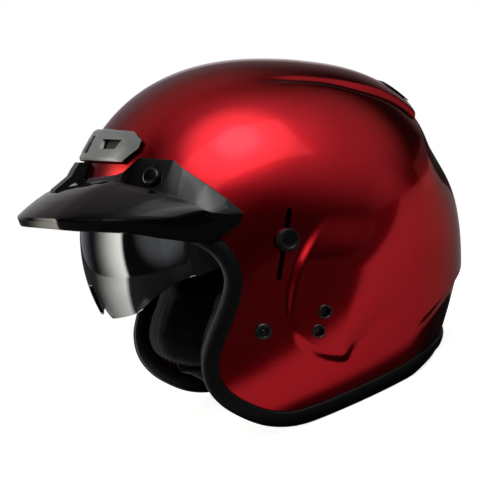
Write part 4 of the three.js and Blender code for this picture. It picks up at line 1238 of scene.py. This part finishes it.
def make_cheek_pads():
    for pad in pair("cheek_pad", cheek_pad_form(), MESH_LINING, slot="liner_fabric"):
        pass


def make_pad_stitches():
    seam = pad_rings([(PAD_SEAM, 1.0, 0.45)], 220)[0]
    mesh = new_mesh("pad_stitches_left", *stitches(seam, pitch=3.4, length=2.2, radius=0.34))
    piece("pad_stitches_left", mesh, THREAD, slot="liner_fabric")
    piece("pad_stitches_right", mirrored(mesh, "pad_stitches_right"), THREAD, slot="liner_fabric")


def stitches(line, pitch, length, radius):
    """(points, faces) of a row of short threads along a closed line in the head frame."""
    gaps = np.linalg.norm(np.roll(line, -1, 0) - line, axis=1)
    walked = np.concatenate([[0], np.cumsum(gaps)])
    closed = np.vstack([line, line[:1]])
    turn = np.linspace(0, 2 * np.pi, 6, endpoint=False)[:, None]
    points, faces = [], []
    for start in np.arange(0, walked[-1] - length, pitch):
        first, last = (
            np.array([np.interp(at, walked, closed[:, k]) for k in range(3)])
            for at in (start, start + length)
        )
        along = unit(last - first)
        side = unit(np.cross(along, (0.3, 0.5, 0.8)))
        circle = radius * (np.cos(turn) * side + np.sin(turn) * np.cross(along, side))
        thread, quads = lofted([
            first * (1 - t) + last * t + circle * size
            for t, size in ((0, 0.4), (0.2, 1), (0.8, 1), (1, 0.4))
        ])
        faces += [[k + len(points) for k in face] for face in quads]
        points += list(thread)
    return np.array(points), faces


def head_point(d, inset):
    p = on_superellipsoid(d, HEAD_HOLLOW)
    return p - surface_normal(p, HEAD_HOLLOW) * np.asarray(inset)[..., None]


def make_crown_liner():
    """Quilted cap: padded squares between stitched channels, thinner at its edge."""
    columns = 224
    turn = np.linspace(0, 2 * np.pi, columns, endpoint=False)
    away = np.radians(86 - 17 * np.cos(turn))
    t = np.linspace(0.02, 1, 110)[:, None]
    a = t * away
    d = np.stack([np.sin(a) * np.sin(turn), -np.sin(a) * np.cos(turn), np.cos(a)], -1)
    plain = on_superellipsoid(d, HEAD_HOLLOW)
    pitch = 24.0
    u = plain[..., 0] + 0.5 * plain[..., 1]
    v = plain[..., 1] * 0.9 - 0.45 * plain[..., 0] + plain[..., 2] * 0.3
    tuft = np.abs(np.sin(np.pi * u / pitch) * np.sin(np.pi * v / pitch)) ** 0.35
    edge = ease(1.0, 0.955, t)
    thick = 4.0 - 1.6 * (1 - tuft) - 2.2 * (1 - edge)
    face = head_point(d, 3 + thick)
    back = head_point(d[::-1][::4], np.full(d[::4].shape[:2], 3.0))
    obj = fine("crown_liner", closed_bowl(np.vstack([face, back])), LINER, slot="liner_fabric")


def make_neck_roll():
    """Soft roll round the back of the neck, gathered by radial seams."""
    half = math.radians(64)
    turn = np.linspace(-half, half, 141)
    a = np.linspace(0, 2 * np.pi, 32, endpoint=False)
    sections = []
    for angle in turn:
        z = -41 - 21 * (1 - math.cos(angle)) / (1 - math.cos(half))
        across = np.array((math.sin(angle), math.cos(angle), 0))
        level = remainder(z / HEAD_HOLLOW["drop"])
        depth = np.linalg.norm(on_superellipsoid(across, HEAD_HOLLOW)) * level - 10
        taper = math.sqrt(max(0, 1 - (0.97 * angle / half) ** 8))
        gather = abs(math.cos(angle / half * np.pi * 2.5)) ** 0.3
        out = (7.5 - 0.9 * (1 - gather)) * taper * np.cos(a)
        up = (11 - 1.2 * (1 - gather)) * taper * np.sin(a)
        sections.append(across * (depth + out[:, None]) + np.array((0, 0, 1.0)) * (z + up[:, None]))
    obj = fine("neck_roll", lofted(sections), LINER, slot="liner_fabric")


make_shell()
make_trim()
make_piping()
make_peak()
make_peak_buttons()
make_vent_cover()
make_vent_base()
make_exhaust()
make_lens()
make_hardware()
make_pivot_screws()
make_knob()
make_snaps()
make_sockets()
make_rings()
make_straps()
make_strap_loop()
make_cheek_pads()
make_pad_stitches()
make_crown_liner()
make_neck_roll()
dress("foam_liner", FOAM, 35)


# ---- studio ---------------------------------------------------------------------------------
LAMP_DISTANCE = 1300


def softbox(name, turn, rise, width, height, power):
    """Area lamp in the head frame that faces the middle of the shell."""
    data = bpy.data.lights.new(name, "AREA")
    data.shape, data.size, data.size_y, data.energy = "RECTANGLE", width, height, power
    lamp = bpy.data.objects.new(name, data)
    way = toward(turn, rise)
    aim = (TURN @ way.to_4d()).to_3d().to_track_quat("Z", "Y").to_matrix().to_4x4()
    lamp.matrix_world = Matrix.Translation(HEAD @ (way * LAMP_DISTANCE)) @ aim
    bpy.context.scene.collection.objects.link(lamp)


WINDOW_FROM, WINDOW_TO = 104, 150   # turn at which the front window starts, and is brightest
WINDOW_LIGHT = (1.0, 0.94, 0.84)
WINDOW_STRENGTH = 7.5
FLOOR_PART = 0.9                    # of the window's strength, for its painted patch of light on the floor


def window_share(graph, along, interpolation):
    """How much of the front window is met, given how far the way goes along a turned direction."""
    started = graph.step(0.02, -0.06, along(WINDOW_FROM - 90), interpolation)
    deep = graph.step(0.0, 0.80, along(WINDOW_TO - 90), interpolation)
    return graph.math("MULTIPLY", started, graph.math("POWER", deep, 2.0))


FLOOR_REACH = 6.0
FLOOR_DROP = 0.0005
FLOOR_PALE = (0.86, 0.86, 0.87)
FLOOR_GLOW = 0.8                    # what the camera sees of the floor besides the light on it
TABLE_EDGE = (0.23, 0.28)           # the table top fades out this far to each side of the middle
TABLE_SPLAY = 0.45                  # and widens by this much toward the back
# the second tone is painted shade, under the helmet and in the dim room past the table's edges
TABLE_TONE, PAINTED_SHADE_TONE = grey(0.58), grey(0.02)
SHADE = (1 / 0.146, 1 / 0.172, 0)   # painted shade: the floor's colour is dark inside this ellipse, where the helmet shades it


def table_tint(look):
    """Colour of the table top as the helmet mirrors it, with painted shade: dark under the helmet and past
    its edges.
    """
    spot = look.node("ShaderNodeSeparateXYZ", Vector=look.place).outputs
    splay = look.math("MULTIPLY", spot["Y"], TABLE_SPLAY)
    aside = look.math("SUBTRACT", look.math("ABSOLUTE", spot["X"]), splay)
    table = look.mix(look.step(*TABLE_EDGE, aside), TABLE_TONE, PAINTED_SHADE_TONE)
    shade = look.vector("LENGTH", look.vector("MULTIPLY", look.place, SHADE), output="Value")
    return look.mix(look.step(0.92, 1.0, shade), PAINTED_SHADE_TONE, table)


def painted_window_glow(look, away):
    """Strength of the window's light, painted on the floor as a glow."""
    way = look.vector("NORMALIZE", look.place)
    share = window_share(
        look, lambda turn: look.vector("DOT_PRODUCT", way, toward(turn, 0), "Value"), "LINEAR",
    )
    fading = look.between(0.6, 1.0, look.step(0.15, 1.2, away))
    return look.math("MULTIPLY", look.math("MULTIPLY", share, fading), WINDOW_STRENGTH * FLOOR_PART)


def make_floor_look():
    """Pale table top in a dim room, with painted shade round the helmet and a painted glow of window
    light. The camera sees it fade into plain white.
    """
    look = Look("studio_floor", roughness=0.8)
    away = look.vector("LENGTH", look.place, output="Value")
    # the emission is a painted glow of the window's light on the floor
    look.set(
        Base_Color=table_tint(look), Emission_Strength=painted_window_glow(look, away),
        Roughness=look.between(0.75, 0.85, look.noise(20.0)),
    )
    look.shader.inputs["Emission Color"].default_value = (*WINDOW_LIGHT, 1)
    pale = look.node("ShaderNodeBsdfDiffuse", Color=(*FLOOR_PALE, 1)).outputs[0]
    glow = look.node("ShaderNodeEmission", Color=(1, 1, 1, 1), Strength=FLOOR_GLOW).outputs[0]
    near = look.node("ShaderNodeAddShader", i0=pale, i1=glow).outputs[0]
    white = look.node("ShaderNodeEmission", Color=(1, 1, 1, 1), Strength=1.0).outputs[0]
    shown = look.node("ShaderNodeMixShader", i0=look.step(0.2, 0.45, away), i1=near, i2=white).outputs[0]
    seen = look.node("ShaderNodeLightPath").outputs["Is Camera Ray"]
    mixed = look.node("ShaderNodeMixShader", i0=seen, i1=look.shader.outputs[0], i2=shown)
    look.show(mixed.outputs[0])
    return look.material


def make_floor():
    corners = [(x * FLOOR_REACH, y * FLOOR_REACH, 0) for x, y in ((-1, -1), (1, -1), (1, 1), (-1, 1))]
    mesh = bpy.data.meshes.new("studio_floor")
    mesh.from_pydata(corners, [], [(0, 1, 2, 3)])
    mesh.materials.append(make_floor_look())
    floor = bpy.data.objects.new("studio_floor", mesh)
    floor.location.z = -FLOOR_DROP
    bpy.context.scene.collection.objects.link(floor)


class Sky(Graph):
    """World light made of soft glows, each round a direction of the head frame."""

    def __init__(self, name):
        world = bpy.data.worlds.new(name)
        bpy.context.scene.world = world
        world.use_nodes = True
        super().__init__(world.node_tree)
        self.place = self.node("ShaderNodeTexCoord").outputs["Generated"]
        self.total = None

    def along(self, turn, rise=0):
        """How far the looked-at direction goes along a head-frame direction."""
        way = (TURN @ toward(turn, rise).to_4d()).to_3d()
        return self.vector("DOT_PRODUCT", self.place, way, "Value")

    def add(self, amount, colour, strength):
        """Adds light of a colour where amount is above 0."""
        light = [channel * strength for channel in colour]
        scaled = self.node("ShaderNodeVectorMath", {"operation": "SCALE"}, i0=light, Scale=amount)
        scaled = scaled.outputs["Vector"]
        self.total = self.vector("ADD", self.total, scaled) if self.total else scaled

    def glow(self, turn, rise, inner, outer, strength, colour=(1, 1, 1)):
        """A round glow: full inside the inner angle and gone at the outer one, in degrees."""
        start, end = math.cos(math.radians(outer)), math.cos(math.radians(inner))
        self.add(self.step(start, end, self.along(turn, rise), "SMOOTHSTEP"), colour, strength)

    def finish(self):
        """Plain white where the camera sees the sky directly."""
        lit = self.nodes["Background"]
        self.links.new(self.total, lit.inputs["Color"])
        plain = self.node("ShaderNodeBackground", Color=(1, 1, 1, 1)).outputs[0]
        seen = self.node("ShaderNodeLightPath").outputs["Is Camera Ray"]
        mixed = self.node("ShaderNodeMixShader", i0=seen, i1=lit.outputs[0], i2=plain)
        self.links.new(mixed.outputs[0], self.nodes["World Output"].inputs["Surface"])


def make_sky():
    sky = Sky("studio_sky")
    room = (1.0, 1.0, 1.05)
    behind = CAMERA_TURN + 180
    sky.glow(behind, -3, 10, 52, 0.38, room)            # pale wall behind
    sky.glow(10, 0, 170, 180, 0.022, room)              # dim everywhere
    sky.glow(14, 56, 1, 14, 1.9, (1, 0.98, 0.98))       # middle of the great highlight
    sky.glow(22, 56, 4, 31, 1.35)
    sky.glow(28, 58, 12, 46, 0.42)
    sky.glow(-42, 58, 8, 48, 0.40)                      # over the back of the shell
    sky.glow(150, 50, 6, 44, 0.36, (1, 0.82, 0.9))      # along the top
    sky.glow(behind, 14, 3, 10, 0.45, room)
    sky.glow(-58, 14, 4, 20, 0.14)
    below_top = sky.step(0.55, 0.35, sky.along(0, 90), "SMOOTHSTEP")
    window = sky.math("MULTIPLY", window_share(sky, sky.along, "SMOOTHSTEP"), below_top)
    sky.add(window, WINDOW_LIGHT, WINDOW_STRENGTH)
    sky.glow(70, 4, 8, 26, 0.5)                         # on the steps that face the front
    sky.finish()


make_floor()
make_sky()
softbox("key", 18, 47, 1.3, 0.62, 1.6)
softbox("rear_fill", -100, 8, 0.8, 0.9, 0.30)
bpy.context.scene.view_settings.view_transform = "Standard"
